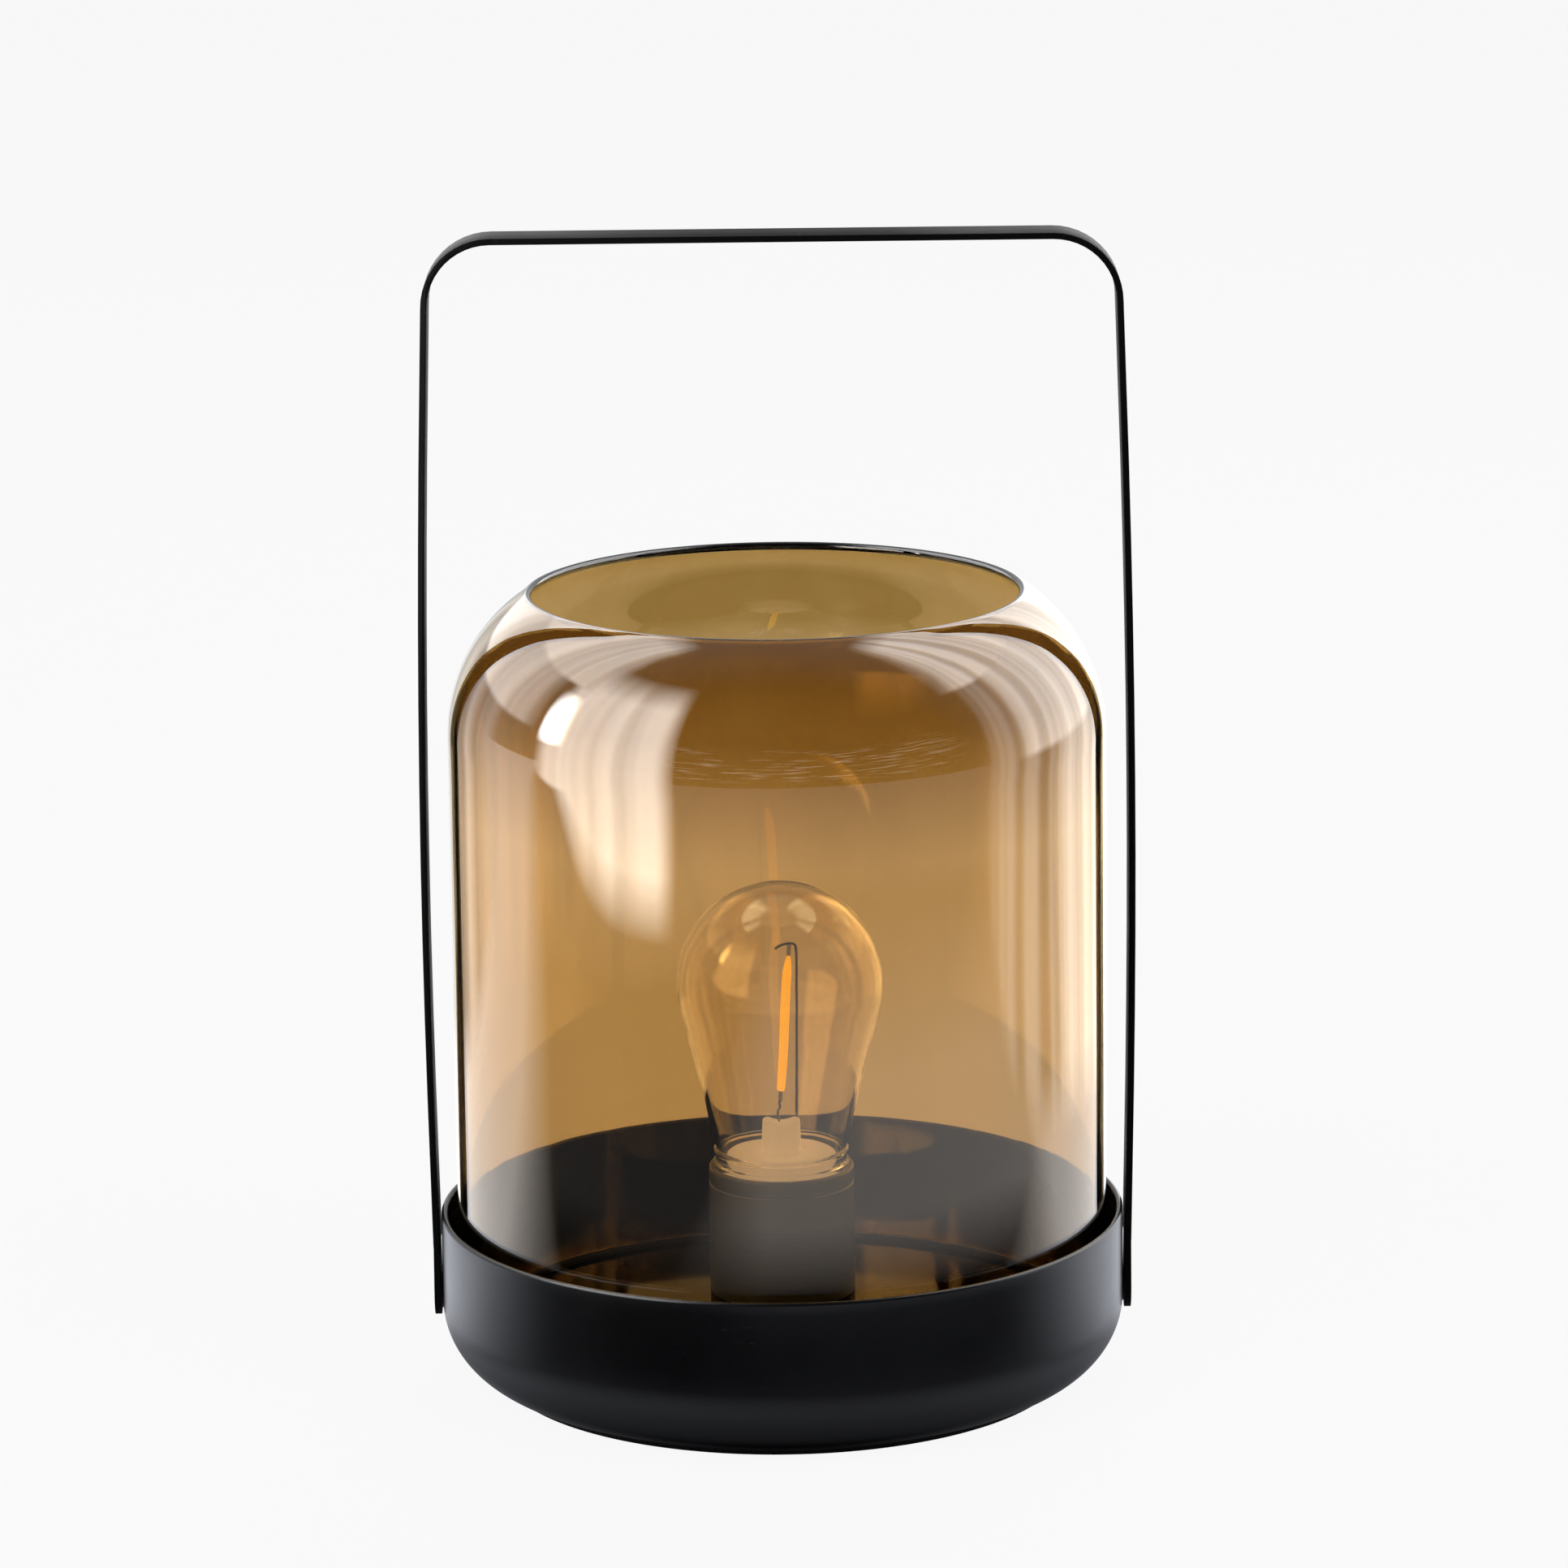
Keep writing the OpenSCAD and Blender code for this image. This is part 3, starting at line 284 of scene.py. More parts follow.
white = node(tree, "ShaderNodeEmission", Color=(1.0, 1.0, 1.0, 1.0), Strength=1.075)
mirrored = node(tree, "ShaderNodeEmission", Color=(0.88, 0.91, 1.0, 1.0), Strength=painted_floor_glow)
share = math_node(tree, "MULTIPLY", sees_white, 0.86)
seen = node(tree, "ShaderNodeMixShader", _0=share, _1=paper.outputs[0], _2=white.outputs[0])
sheet = node(tree, "ShaderNodeMixShader", _0=mirrored_ray(tree), _1=seen.outputs[0],
             _2=mirrored.outputs[0])
underside = node(tree, "ShaderNodeNewGeometry").outputs["Backfacing"]
unseen = node(tree, "ShaderNodeBsdfTransparent")
one_sided = node(tree, "ShaderNodeMixShader", _0=underside, _1=sheet.outputs[0], _2=unseen.outputs[0])
node(tree, "ShaderNodeOutputMaterial", Surface=one_sided.outputs[0])
floor_mesh.materials.append(floor_finish)

# ---------------------------------------------------------------- foot ring
# A ring of black non-slip rubber under the cover, stuck on. Its lower face has fine round
# grooves, and its edges are rounded.


def put_mesh(name, points, faces, body, smooth=True):
    """A piece that rides on body, from arrays of points and faces, its faces turned outwards:
    the volume under the faces, summed over their corners, is positive for an outward shell. A
    face that closes at a pole names one corner twice, and keeps it once."""
    corner = [points[faces[:, k]] for k in range(faces.shape[1])]
    volume = sum(np.einsum("ij,ij->i", corner[0], np.cross(corner[k], corner[k + 1])).sum()
                 for k in range(1, faces.shape[1] - 1))
    if volume < 0:
        faces = faces[:, ::-1]
    mesh = bpy.data.meshes.new(name)
    mesh.from_pydata(points.tolist(), [], [sorted(set(f), key=f.index) for f in faces.tolist()])
    mesh.polygons.foreach_set("use_smooth", np.full(len(mesh.polygons), smooth))
    mesh.update()
    piece = bpy.data.objects.new(name, mesh)
    bpy.context.scene.collection.objects.link(piece)
    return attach(piece, body)


def lathe(name, outline, body, around=192, closed=True, ripple=None):
    """Turns an outline of (r, z) rows, in mm, about the z axis: x = r cos a, y = r sin a.
    A closed outline makes a shell; an open one starts and ends on the axis, where its rings
    shrink to a point. ripple(a, z) is added to r."""
    outline = np.asarray(outline, float)
    a = np.linspace(0, 2 * np.pi, around, endpoint=False)[None, :]
    r, z = outline[:, :1], outline[:, 1:]
    if ripple is not None:
        r = r + np.where(r > 1e-6, ripple(a, z), 0.0)
    grid = np.stack([r * np.cos(a), r * np.sin(a), z + 0 * a], axis=-1) * MM
    points, faces = grid.reshape(-1, 3), grid_faces(len(outline), around, closed, True)
    if not closed:
        last = (len(outline) - 1) * around
        faces = np.where(faces < around, 0, faces)
        faces = np.where(faces >= last, last, faces)
        used = np.unique(faces)
        renumber = np.zeros(len(points), int)
        renumber[used] = np.arange(len(used))
        points, faces = points[used], renumber[faces]
    return put_mesh(name, points, faces, body)


def arc(cx, cz, r, start, end, steps):
    """Points (cx + r cos t, cz + r sin t), with t from start to end in degrees."""
    t = np.radians(np.linspace(start, end, steps + 1))
    return np.stack([cx + r * np.cos(t), cz + r * np.sin(t)], axis=1)


def rounded(corners, steps=5):
    """An outline through corners (x, z, radius), each cut by an arc that touches both sides."""
    corners = np.asarray(corners, float)
    parts = []
    for k, (x, z, radius) in enumerate(corners):
        here = np.array([x, z])
        if radius <= 0:
            parts.append(here[None, :])
            continue
        before, after = corners[k - 1, :2] - here, corners[(k + 1) % len(corners), :2] - here
        before, after = before / np.linalg.norm(before), after / np.linalg.norm(after)
        half = 0.5 * math.acos(np.clip(before @ after, -1, 1))
        centre = here + (before + after) / np.linalg.norm(before + after) * radius / math.sin(half)
        first = here + before * radius / math.tan(half) - centre
        last = here + after * radius / math.tan(half) - centre
        t0, t1 = math.atan2(first[1], first[0]), math.atan2(last[1], last[0])
        turn = (t1 - t0 + math.pi) % (2 * math.pi) - math.pi
        t = t0 + turn * np.linspace(0, 1, steps + 1)
        parts.append(centre + radius * np.stack([np.cos(t), np.sin(t)], axis=1))
    return np.concatenate(parts)


def finish(name, colour, roughness, **sockets):
    """A new material and its Principled shader; sockets are set on the shader itself."""
    material = bpy.data.materials.new(name)
    material.use_nodes = True
    material.node_tree.nodes.clear()
    shader = node(material.node_tree, "ShaderNodeBsdfPrincipled", Base_Color=(*colour, 1.0),
                  Roughness=roughness, **sockets)
    node(material.node_tree, "ShaderNodeOutputMaterial", Surface=shader.outputs[0])
    return material, material.node_tree, shader


def grain(tree, per_metre, detail=3.0, stretch=(1.0, 1.0, 1.0), rough=0.55):
    """Noise on the object's own coordinates, from 0 to 1, that many waves to a metre."""
    place = node(tree, "ShaderNodeTexCoord").outputs["Object"]
    placed = node(tree, "ShaderNodeMapping", Vector=place, Scale=stretch)
    noise = node(tree, "ShaderNodeTexNoise", Vector=placed.outputs[0], Scale=per_metre,
                 Detail=detail, Roughness=rough)
    return noise.outputs["Fac"]


def shade(tree, shader, value, dark, light):
    """Base colour that runs from dark to light with value."""
    mix = node(tree, "ShaderNodeMix", _0=value, _6=(*dark, 1.0), _7=(*light, 1.0))
    mix.data_type = "RGBA"
    tree.links.new(value, mix.inputs[0])
    tree.links.new(mix.outputs[2], shader.inputs["Base Color"])


def bump(tree, shader, height, depth_mm, strength=1.0):
    """Relief of that depth on the shader's normal."""
    new = node(tree, "ShaderNodeBump", Height=height, Distance=depth_mm * MM, Strength=strength)
    tree.links.new(new.outputs[0], shader.inputs["Normal"])


rubber, tree, shader = finish("black_rubber", (0.03, 0.03, 0.03), 0.75, Specular_IOR_Level=0.35)
speckle = grain(tree, 2500.0, 2.0)
shade(tree, shader, speckle, (0.018, 0.018, 0.018), (0.045, 0.044, 0.042))
bump(tree, shader, speckle, 0.08)

_, foot_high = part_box("foot_ring")
foot_w = 9.0
foot_outer = foot_high.x / MM
foot_inner = foot_outer - foot_w
foot_top = foot_high.z / MM
low_edge_r, top_edge_r = 0.4, 0.2
groove_pitch, groove_depth = 1.5, 0.25
groove_r = np.arange(foot_inner + 1.0, foot_outer - 0.8, groove_pitch / 8)
groove_z = groove_depth * np.sin(np.pi * (groove_r - groove_r[0]) / groove_pitch) ** 2
ring_outline = np.concatenate([
    arc(foot_inner + low_edge_r, low_edge_r, low_edge_r, 180, 270, 4),
    np.stack([groove_r, groove_z], axis=1),
    arc(foot_outer - low_edge_r, low_edge_r, low_edge_r, 270, 360, 4),
    arc(foot_outer - top_edge_r, foot_top - top_edge_r, top_edge_r, 0, 90, 3),
    arc(foot_inner + top_edge_r, foot_top - top_edge_r, top_edge_r, 90, 180, 3)])
foot = lathe("rubber_foot", ring_outline, "base")
foot.data.materials.append(rubber)
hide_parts("foot_ring")

# ---------------------------------------------------------------- underside cover and door
# Black ABS mouldings with a fine spark texture. Four zinc-plated self-tapping screws hold the
# cover, and the door turns on two hooked tabs in it.


def dress(names, material):
    """Gives CAD nodes a material in place of their plain one."""
    for name in names:
        nodes[name].data.materials.clear()
        nodes[name].data.materials.append(material)


def softened(name, node_name, body, material, edge_mm, from_z=-1000.0):
    """A merged copy of a CAD node that stands for it, with its sharp outer edges above from_z
    rounded off, both in mm. Faces that meet at less than 30 degrees are shaded as one."""
    shape = bmesh.new()
    shape.from_mesh(nodes[node_name].data)
    bmesh.ops.remove_doubles(shape, verts=shape.verts, dist=0.001 * MM)
    bmesh.ops.dissolve_limit(shape, angle_limit=math.radians(0.2), verts=shape.verts,
                             edges=shape.edges)
    sharp = [e for e in shape.edges if e.is_convex and e.calc_face_angle() > math.radians(40)
             and min(corner.co.z for corner in e.verts) > from_z * MM]
    bmesh.ops.bevel(shape, geom=sharp, offset=edge_mm * MM, offset_type="OFFSET", segments=2,
                    profile=0.5, affect="EDGES", clamp_overlap=True)
    mesh = bpy.data.meshes.new(name)
    shape.to_mesh(mesh)
    shape.free()
    mesh.shade_smooth()
    mesh.set_sharp_from_angle(angle=math.radians(30))
    mesh.materials.append(material)
    piece = bpy.data.objects.new(name, mesh)
    bpy.context.scene.collection.objects.link(piece)
    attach(piece, body)
    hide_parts(node_name)


abs_black, tree, shader = finish("textured_abs", (0.02, 0.02, 0.02), 0.5)
spark = grain(tree, 3500.0, 2.0)
smudge = grain(tree, 60.0, 3.0)
shade(tree, shader, smudge, (0.014, 0.014, 0.015), (0.028, 0.028, 0.029))
tree.links.new(spread(tree, smudge, 0.42, 0.6, 0.3, 0.7), shader.inputs["Roughness"])
bump(tree, shader, spark, 0.03)
softened("cover_moulding", "underside_cover", "base", abs_black, 0.25)
softened("door_moulding", "battery_door", "battery_door", abs_black, 0.25)

zinc, tree, shader = finish("zinc_plate", (0.6, 0.6, 0.58), 0.35, Metallic=1.0)
blotch = grain(tree, 900.0, 3.0)
shade(tree, shader, blotch, (0.48, 0.48, 0.46), (0.7, 0.7, 0.67))
tree.links.new(spread(tree, blotch, 0.25, 0.5), shader.inputs["Roughness"])
dress(["cover_screws", "post_screws"], zinc)

# ---------------------------------------------------------------- bowl
# Steel sheet spun to a bowl and powder coated satin black. The rim is trimmed and rounded, and
# its coat is thin and worn on top. The bowl is clamped between the cover and the housing.
powder, tree, shader = finish("satin_powder_coat", (0.004, 0.004, 0.0045), 0.3,
                              Specular_IOR_Level=0.45)
peel = grain(tree, 900.0, 2.0)
patch = grain(tree, 25.0, 4.0)
scuff = grain(tree, 700.0, 4.0, (0.12, 1.0, 1.0), 0.7)
scuffs = spread(tree, scuff, 0.0, 1.0, 0.66, 0.74)
shade(tree, shader, scuffs, (0.002, 0.002, 0.0026), (0.022, 0.022, 0.024))
roughness = math_node(tree, "ADD", spread(tree, patch, 0.24, 0.34, 0.3, 0.7),
                      math_node(tree, "MULTIPLY", scuffs, 0.12))
tree.links.new(roughness, shader.inputs["Roughness"])
bump(tree, shader, peel, 0.006)

bowl_low, bowl_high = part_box("bowl")
bowl_r = bowl_high.x / MM
bowl_bottom = bowl_low.z / MM
rim_z = bowl_high.z / MM
sheet_t = 1.5
corner_r = 18.0
outer_turn = 63.6
lip_w = 6.0
corner_x = bowl_r - corner_r
corner_z = bowl_bottom + corner_r * math.sin(math.radians(outer_turn))
hole_r = corner_x + corner_r * math.cos(math.radians(outer_turn)) - lip_w
inner_r = corner_r - sheet_t
lip_z = bowl_bottom + sheet_t
inner_turn = math.degrees(math.asin((corner_z - lip_z) / inner_r))
bowl_outline = np.concatenate([
    [[hole_r, lip_z], [hole_r, bowl_bottom], [hole_r + lip_w / 2, bowl_bottom]],
    arc(corner_x, corner_z, corner_r, -outer_turn, 0, 28),
    [[bowl_r, rim_z - drop] for drop in (18.0, 14.0, 10.0, 6.0, 3.0)],
    arc(bowl_r - sheet_t / 2, rim_z - sheet_t / 2, sheet_t / 2, 0, 180, 12),
    [[bowl_r - sheet_t, rim_z - drop] for drop in (6.0, 12.0, 18.0)],
    arc(corner_x, corner_z, inner_r, 0, -inner_turn, 28)])
bowl = lathe("steel_bowl", bowl_outline, "base", around=256)
bowl.data.materials.append(powder)
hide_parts("bowl")

# ---------------------------------------------------------------- inner housing
# Gloss black ABS moulding: the floor under the glass and the round plateau over the cells. Its
# skirt stands on the bowl's lip, and the cover's screws draw it down.
gloss_black, tree, shader = finish("gloss_abs", (0.008, 0.008, 0.008), 0.12)
smear = grain(tree, 35.0, 4.0)
dust = spread(tree, grain(tree, 900.0, 3.0), 0.0, 1.0, 0.7, 0.78)
shade(tree, shader, dust, (0.006, 0.006, 0.0065), (0.03, 0.029, 0.027))
tree.links.new(spread(tree, smear, 0.05, 0.14, 0.3, 0.7), shader.inputs["Roughness"])
bump(tree, shader, smear, 0.01)
dress(["inner_housing"], gloss_black)

# ---------------------------------------------------------------- cells and contacts
# Three AA cells in plain dark sleeves, side by side under the plateau. Nickel-plated plates stand
# against ribs in the housing, and their springs press the cells together.
sleeve, tree, shader = finish("cell_sleeve", (0.05, 0.055, 0.065), 0.3, Metallic=0.4)
film = grain(tree, 400.0, 3.0, (0.2, 1.0, 1.0))
shade(tree, shader, film, (0.035, 0.04, 0.05), (0.075, 0.08, 0.09))
tree.links.new(spread(tree, film, 0.22, 0.4), shader.inputs["Roughness"])
dress(["battery_1", "battery_2", "battery_3"], sleeve)

nickel, tree, shader = finish("nickel_plate", (0.7, 0.68, 0.64), 0.25, Metallic=1.0)
dull = grain(tree, 1200.0, 3.0)
shade(tree, shader, dull, (0.55, 0.54, 0.5), (0.78, 0.76, 0.72))
tree.links.new(spread(tree, dull, 0.18, 0.42), shader.inputs["Roughness"])
dress(["battery_springs", "contact_plates"], nickel)

# ---------------------------------------------------------------- board, switch and leads
# A green fibreglass board on two pegs under the floor, with a timer chip, small parts and a slide
# switch in a plated case. Leads in PVC covers are soldered to it.
mask_green, tree, shader = finish("solder_mask", (0.02, 0.16, 0.07), 0.3)
weave = grain(tree, 1500.0, 2.0, (1.0, 0.3, 1.0))
shade(tree, shader, weave, (0.012, 0.12, 0.05), (0.03, 0.2, 0.09))
bump(tree, shader, weave, 0.02)
dress(["circuit_board"], mask_green)
dress(["switch_body", "solder_joints"], nickel)

epoxy, tree, shader = finish("moulded_epoxy", (0.02, 0.02, 0.02), 0.6)
pits = grain(tree, 4000.0, 2.0)
shade(tree, shader, pits, (0.012, 0.012, 0.012), (0.03, 0.03, 0.03))
bump(tree, shader, pits, 0.01)
dress(["timer_chip"], epoxy)

ceramic, tree, shader = finish("part_ceramic", (0.55, 0.42, 0.28), 0.45)
shade(tree, shader, grain(tree, 3000.0, 2.0), (0.45, 0.33, 0.2), (0.65, 0.52, 0.36))
dress(["board_parts"], ceramic)

knob_grey, tree, shader = finish("switch_grey", (0.5, 0.5, 0.48), 0.45)
wear = grain(tree, 1500.0, 3.0)
shade(tree, shader, wear, (0.42, 0.42, 0.4), (0.56, 0.56, 0.54))
bump(tree, shader, wear, 0.01)
softened("slider_knob", "switch_slider", "switch", knob_grey, 0.15)


def cable_cover(name, dark, light):
    """Soft PVC with a slightly uneven skin."""
    cover, tree, shader = finish(name, light, 0.4)
    skin = grain(tree, 2000.0, 2.0)
    shade(tree, shader, skin, dark, light)
    bump(tree, shader, skin, 0.01)
    return cover


dress(["led_lead_red", "battery_lead_red"],
      cable_cover("red_pvc", (0.4, 0.01, 0.008), (0.6, 0.03, 0.02)))
dress(["led_lead_black", "battery_lead_black"],
      cable_cover("black_pvc", (0.01, 0.01, 0.01), (0.03, 0.03, 0.03)))

# ---------------------------------------------------------------- post
# A turned tube with a satin charcoal coat. It is screwed to the plateau from below, and the
# bulb's spigot sits in it.
charcoal, tree, shader = finish("satin_charcoal", (0.09, 0.095, 0.092), 0.38)
turning = grain(tree, 260.0, 3.0, (0.05, 0.05, 6.0))
shade(tree, shader, turning, (0.075, 0.08, 0.078), (0.11, 0.115, 0.112))
tree.links.new(spread(tree, turning, 0.3, 0.46), shader.inputs["Roughness"])
bump(tree, shader, turning, 0.01)

post_low, post_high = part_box("lamp_post")
post_r = post_high.x / MM
post_z0, post_z1 = post_low.z / MM, post_high.z / MM
post_wall = 1.6
post_bore = post_r - post_wall
post_mouth = 14.6
post_groove_r, groove_mid = post_r - 0.25, post_z1 - 3.8
post_outline = rounded([
    (post_bore, post_z0, 0.2), (post_r, post_z0, 0.3), (post_r, groove_mid - 0.4, 0.15),
    (post_groove_r, groove_mid - 0.2, 0.1), (post_groove_r, groove_mid + 0.2, 0.1),
    (post_r, groove_mid + 0.4, 0.15), (post_r, post_z1, 0.6), (post_mouth, post_z1, 0.3),
    (post_mouth, post_z1 - 2.5, 0.2), (post_bore, post_z1 - 3.3, 0.2)])
post = lathe("post_tube", post_outline, "base", around=160)
post.data.materials.append(charcoal)
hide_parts("lamp_post")

# ---------------------------------------------------------------- bulb
# A clear moulded envelope with a ribbed collar. Inside it are a white stem, which is crimped at
# its top, and one phosphor-coated strip that hangs from a support wire.
stem_low, stem_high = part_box("bulb_stem")
stem_r = stem_high.x / MM
stem_z0, stem_top = stem_low.z / MM, stem_high.z / MM
disc_z = post_z1 + 3.0
disc_t = 1.2
column_r = 4.4
stem_outline = np.concatenate([
    [[0.0, disc_z - disc_t]],
    rounded([(0.0, disc_z - disc_t, 0), (stem_r - disc_t, disc_z - disc_t, 0.2),
             (stem_r - disc_t, stem_z0, 0.2), (stem_r, stem_z0, 0.2), (stem_r, disc_z, 0.8),
             (column_r + 0.3, disc_z, 0.9), (column_r, stem_top - 0.6, 0.1),
             (column_r - 0.9, stem_top, 0.7), (1.2, stem_top - 0.9, 0.5),
             (0.0, stem_top - 1.0, 0)])[1:]])
stem = lathe("white_stem", stem_outline, "base", around=96, closed=False)
# The column is pinched while it is soft: near its top y shrinks by a share of itself, and the
# rim sinks with the square of the sine of the angle about the axis, which leaves two horns.
pinch_share, horn_h = 0.35, 1.2
pinched = np.zeros(len(stem.data.vertices) * 3)
stem.data.vertices.foreach_get("co", pinched)
pinched = pinched.reshape(-1, 3)
above = pinched[:, 2] / MM - stem_top
sine = pinched[:, 1] / np.maximum(np.hypot(pinched[:, 0], pinched[:, 1]), 0.5 * MM)
pinched[:, 2] -= horn_h * MM * np.clip((above + 2.5) / 2.0, 0, 1) * sine ** 2
pinched[:, 1] *= 1 - pinch_share * np.clip((above + 6.0) / 4.0, 0, 1)
stem.data.vertices.foreach_set("co", pinched.ravel())
stem.data.update()
# Painted glow: the white glass is given a little light of its own, which stands in for the strip's
# light and for the light that reaches it through the glass.
stem_painted_glow_finish, tree, shader = finish("cream_stem_painted_glow", (0.8, 0.76, 0.68), 0.3,
                             Emission_Color=(1.0, 0.81, 0.62, 1.0), Emission_Strength=0.48)
cloud = grain(tree, 220.0, 3.0)
shade(tree, shader, cloud, (0.74, 0.69, 0.6), (0.86, 0.83, 0.77))
bump(tree, shader, cloud, 0.05)
stem.data.materials.append(stem_painted_glow_finish)
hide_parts("bulb_stem")


def tube(name, route, radii, body, sides=16):
    """A rod with closed, rounded ends along a route of points in mm. radii holds the half-widths
    across (in the plane of the route) and along y, one pair for each point: each ring is
    p + a cos t side + b sin t y, with side square to the route and to y."""
    route, radii = np.asarray(route, float), np.asarray(radii, float)
    along = np.gradient(route, axis=0)
    along /= np.linalg.norm(along, axis=1)[:, None]
    side = np.cross(along, [0.0, 1.0, 0.0])
    side /= np.linalg.norm(side, axis=1)[:, None]
    depth = np.cross(side, along)
    t = np.linspace(0, 2 * np.pi, sides, endpoint=False)
    rings = (route[:, None] + radii[:, :1, None] * np.cos(t)[None, :, None] * side[:, None]
             + radii[:, 1:, None] * np.sin(t)[None, :, None] * depth[:, None])
    tips = route[[0, -1]] + np.stack([-along[0], along[-1]]) * radii[[0, -1]].min() * 0.6
    points = np.concatenate([rings.reshape(-1, 3), tips]) * MM
    faces = grid_faces(len(route), sides, False, True)
    k = np.arange(sides)
    first, last = np.full(sides, len(points) - 2), (len(route) - 1) * sides
    caps = [np.stack([first, (k + 1) % sides, k, first], axis=1),
            np.stack([first + 1, last + k, last + (k + 1) % sides, first + 1], axis=1)]
    return put_mesh(name, points, np.concatenate([faces, *caps]), body)


def smooth_route(corners, steps=8):
    """A Catmull-Rom curve through the corners, with that many points to each stretch."""
    p = np.asarray(corners, float)
    p = np.concatenate([[2 * p[0] - p[1]], p, [2 * p[-1] - p[-2]]])
    t = np.linspace(0, 1, steps, endpoint=False)[:, None]
    parts = [0.5 * (2 * b + (c - a) * t + (2 * a - 5 * b + 4 * c - d) * t ** 2
                    + (3 * b - a - 3 * c + d) * t ** 3)
             for a, b, c, d in zip(p[:-3], p[1:-2], p[2:-1], p[3:])]
    return np.concatenate([*parts, p[-2:-1]])


strip_low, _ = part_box("led_filament")
strip_foot = np.array([0.0, 0.0, strip_low.z / MM])
strip_l = 32.7
strip_lean = 2.1
strip_along = np.array([strip_lean, 0.0, math.sqrt(strip_l ** 2 - strip_lean ** 2)]) / strip_l
s_mm = np.linspace(0.25, strip_l - 0.3, 60)
bow = 0.12 * np.sin(2 * np.pi * s_mm / strip_l)
tip = np.clip((strip_l - s_mm) / 4.0, 0, 1) ** 0.6
heel = np.clip(s_mm / 0.8, 0, 1) ** 0.5
swell = (0.9 + 0.1 * np.sin(np.pi * s_mm / strip_l)) * np.minimum(0.3 + 0.7 * tip, 0.6 + 0.4 * heel)
strip_route = strip_foot + s_mm[:, None] * strip_along + bow[:, None] * np.array([1.0, 0, 0])
strip_half_w, strip_half_t = 1.1, 0.78
strip = tube("coated_filament", strip_route,
             np.stack([strip_half_w * swell, strip_half_t * swell], axis=1), "base", 24)
phosphor, tree, shader = finish("orange_phosphor", (0.95, 0.42, 0.03), 0.55, Subsurface_Weight=0.1,
                                Emission_Color=(1.0, 0.52, 0.0, 1.0), Emission_Strength=1.4)
coating = grain(tree, 900.0, 2.0, (1.0, 1.0, 0.5))
shade(tree, shader, coating, (0.85, 0.34, 0.004), (0.95, 0.46, 0.01))
bump(tree, shader, coating, 0.05)
strip.data.materials.append(phosphor)
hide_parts("led_filament")

wires_low, wires_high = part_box("filament_wires")
stem_face = wires_low.z / MM
support_half, lead_half = 0.33, 0.27
hook_z = wires_high.z / MM - 0.32
support_x = strip_lean + 1.7
hook = smooth_route([
    (support_x - 0.15, 0, stem_face), (support_x, 0, stem_face + 12),
    (support_x + 0.1, 0, hook_z - 6), (support_x - 0.05, 0, hook_z - 0.9),
    (support_x - 0.9, 0, hook_z - 0.05), (1.6, 0, hook_z - 0.1), (0.2, 0, hook_z - 0.5),
    (-0.9, 0, hook_z - 1.25)], 10)
lower = smooth_route([
    (-0.45, 0, stem_face - 1.2), (-0.75, 0, stem_face + 1.2), (-0.2, 0, stem_face + 2.3),
    (-0.4, 0, stem_face + 3.2), (-0.16, 0, strip_low.z / MM - 2.2)])
dark_wire, tree, shader = finish("support_wire", (0.2, 0.19, 0.18), 0.3, Metallic=1.0)
drawn = grain(tree, 900.0, 2.0, (1.0, 1.0, 0.1))
shade(tree, shader, drawn, (0.1, 0.09, 0.08), (0.3, 0.28, 0.26))
wires = [tube("support_wire", hook, np.full((len(hook), 2), support_half), "base", 12),
         tube("lower_lead", lower, np.full((len(lower), 2), lead_half), "base", 12)]
for wire in wires:
    wire.data.materials.append(dark_wire)
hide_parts("filament_wires")
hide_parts("filament_wires")
dress(["filament_tabs"], nickel)

_, bulb_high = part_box("bulb_envelope")
bulb_r = bulb_high.x / MM
bulb_top = bulb_high.z / MM
bulb_centre = bulb_top - bulb_r
bulb_wall = 1.2
neck_r = 15.3
neck_z = post_z1 + 4.4
spigot_r = post_mouth - 0.2
touch_a = math.degrees(math.acos(bulb_r / math.hypot(neck_r, bulb_centre - neck_z))
                       - math.atan2(bulb_centre - neck_z, neck_r))
spigot_h = 5.0
flange_r, waist_r, upper_ring_r = 16.0, 15.4, 15.8
collar = rounded([
    (spigot_r - 1.1, post_z1 - spigot_h, 0), (spigot_r, post_z1 - spigot_h, 0.2),
    (spigot_r, post_z1, 0.05), (flange_r, post_z1, 0.2), (flange_r, post_z1 + 0.9, 0.3),
    (waist_r, post_z1 + 1.25, 0.2), (waist_r, post_z1 + 3.1, 0.2),
    (upper_ring_r, post_z1 + 3.45, 0.2), (upper_ring_r, post_z1 + 3.95, 0.2), (neck_r, neck_z, 0)], 4)


def cone_rows(r, end_r):
    """Rows up the bulb's cone, from end_r at the neck to where it touches the circle of radius r.
    They stand close at both ends, so that the shading there follows the form."""
    turn = math.radians(touch_a)
    share = np.concatenate([[0.0, 0.01, 0.03], np.linspace(0.06, 0.97, 20)])[:, None]
    low = np.array([end_r, neck_z])
    high = np.array([r * math.cos(turn), bulb_centre + r * math.sin(turn)])
    return low + (high - low) * share


bulb_outline = np.concatenate([
    [[0.0, bulb_top - bulb_wall]], arc(0, bulb_centre, bulb_r - bulb_wall, 88.5, touch_a, 60),
    cone_rows(bulb_r - bulb_wall, neck_r - bulb_wall)[::-1], [[spigot_r - 1.0, post_z1 + 0.4]],
    collar[:-1], cone_rows(bulb_r, neck_r), arc(0, bulb_centre, bulb_r, touch_a, 88.5, 60),
    [[0.0, bulb_top]]])


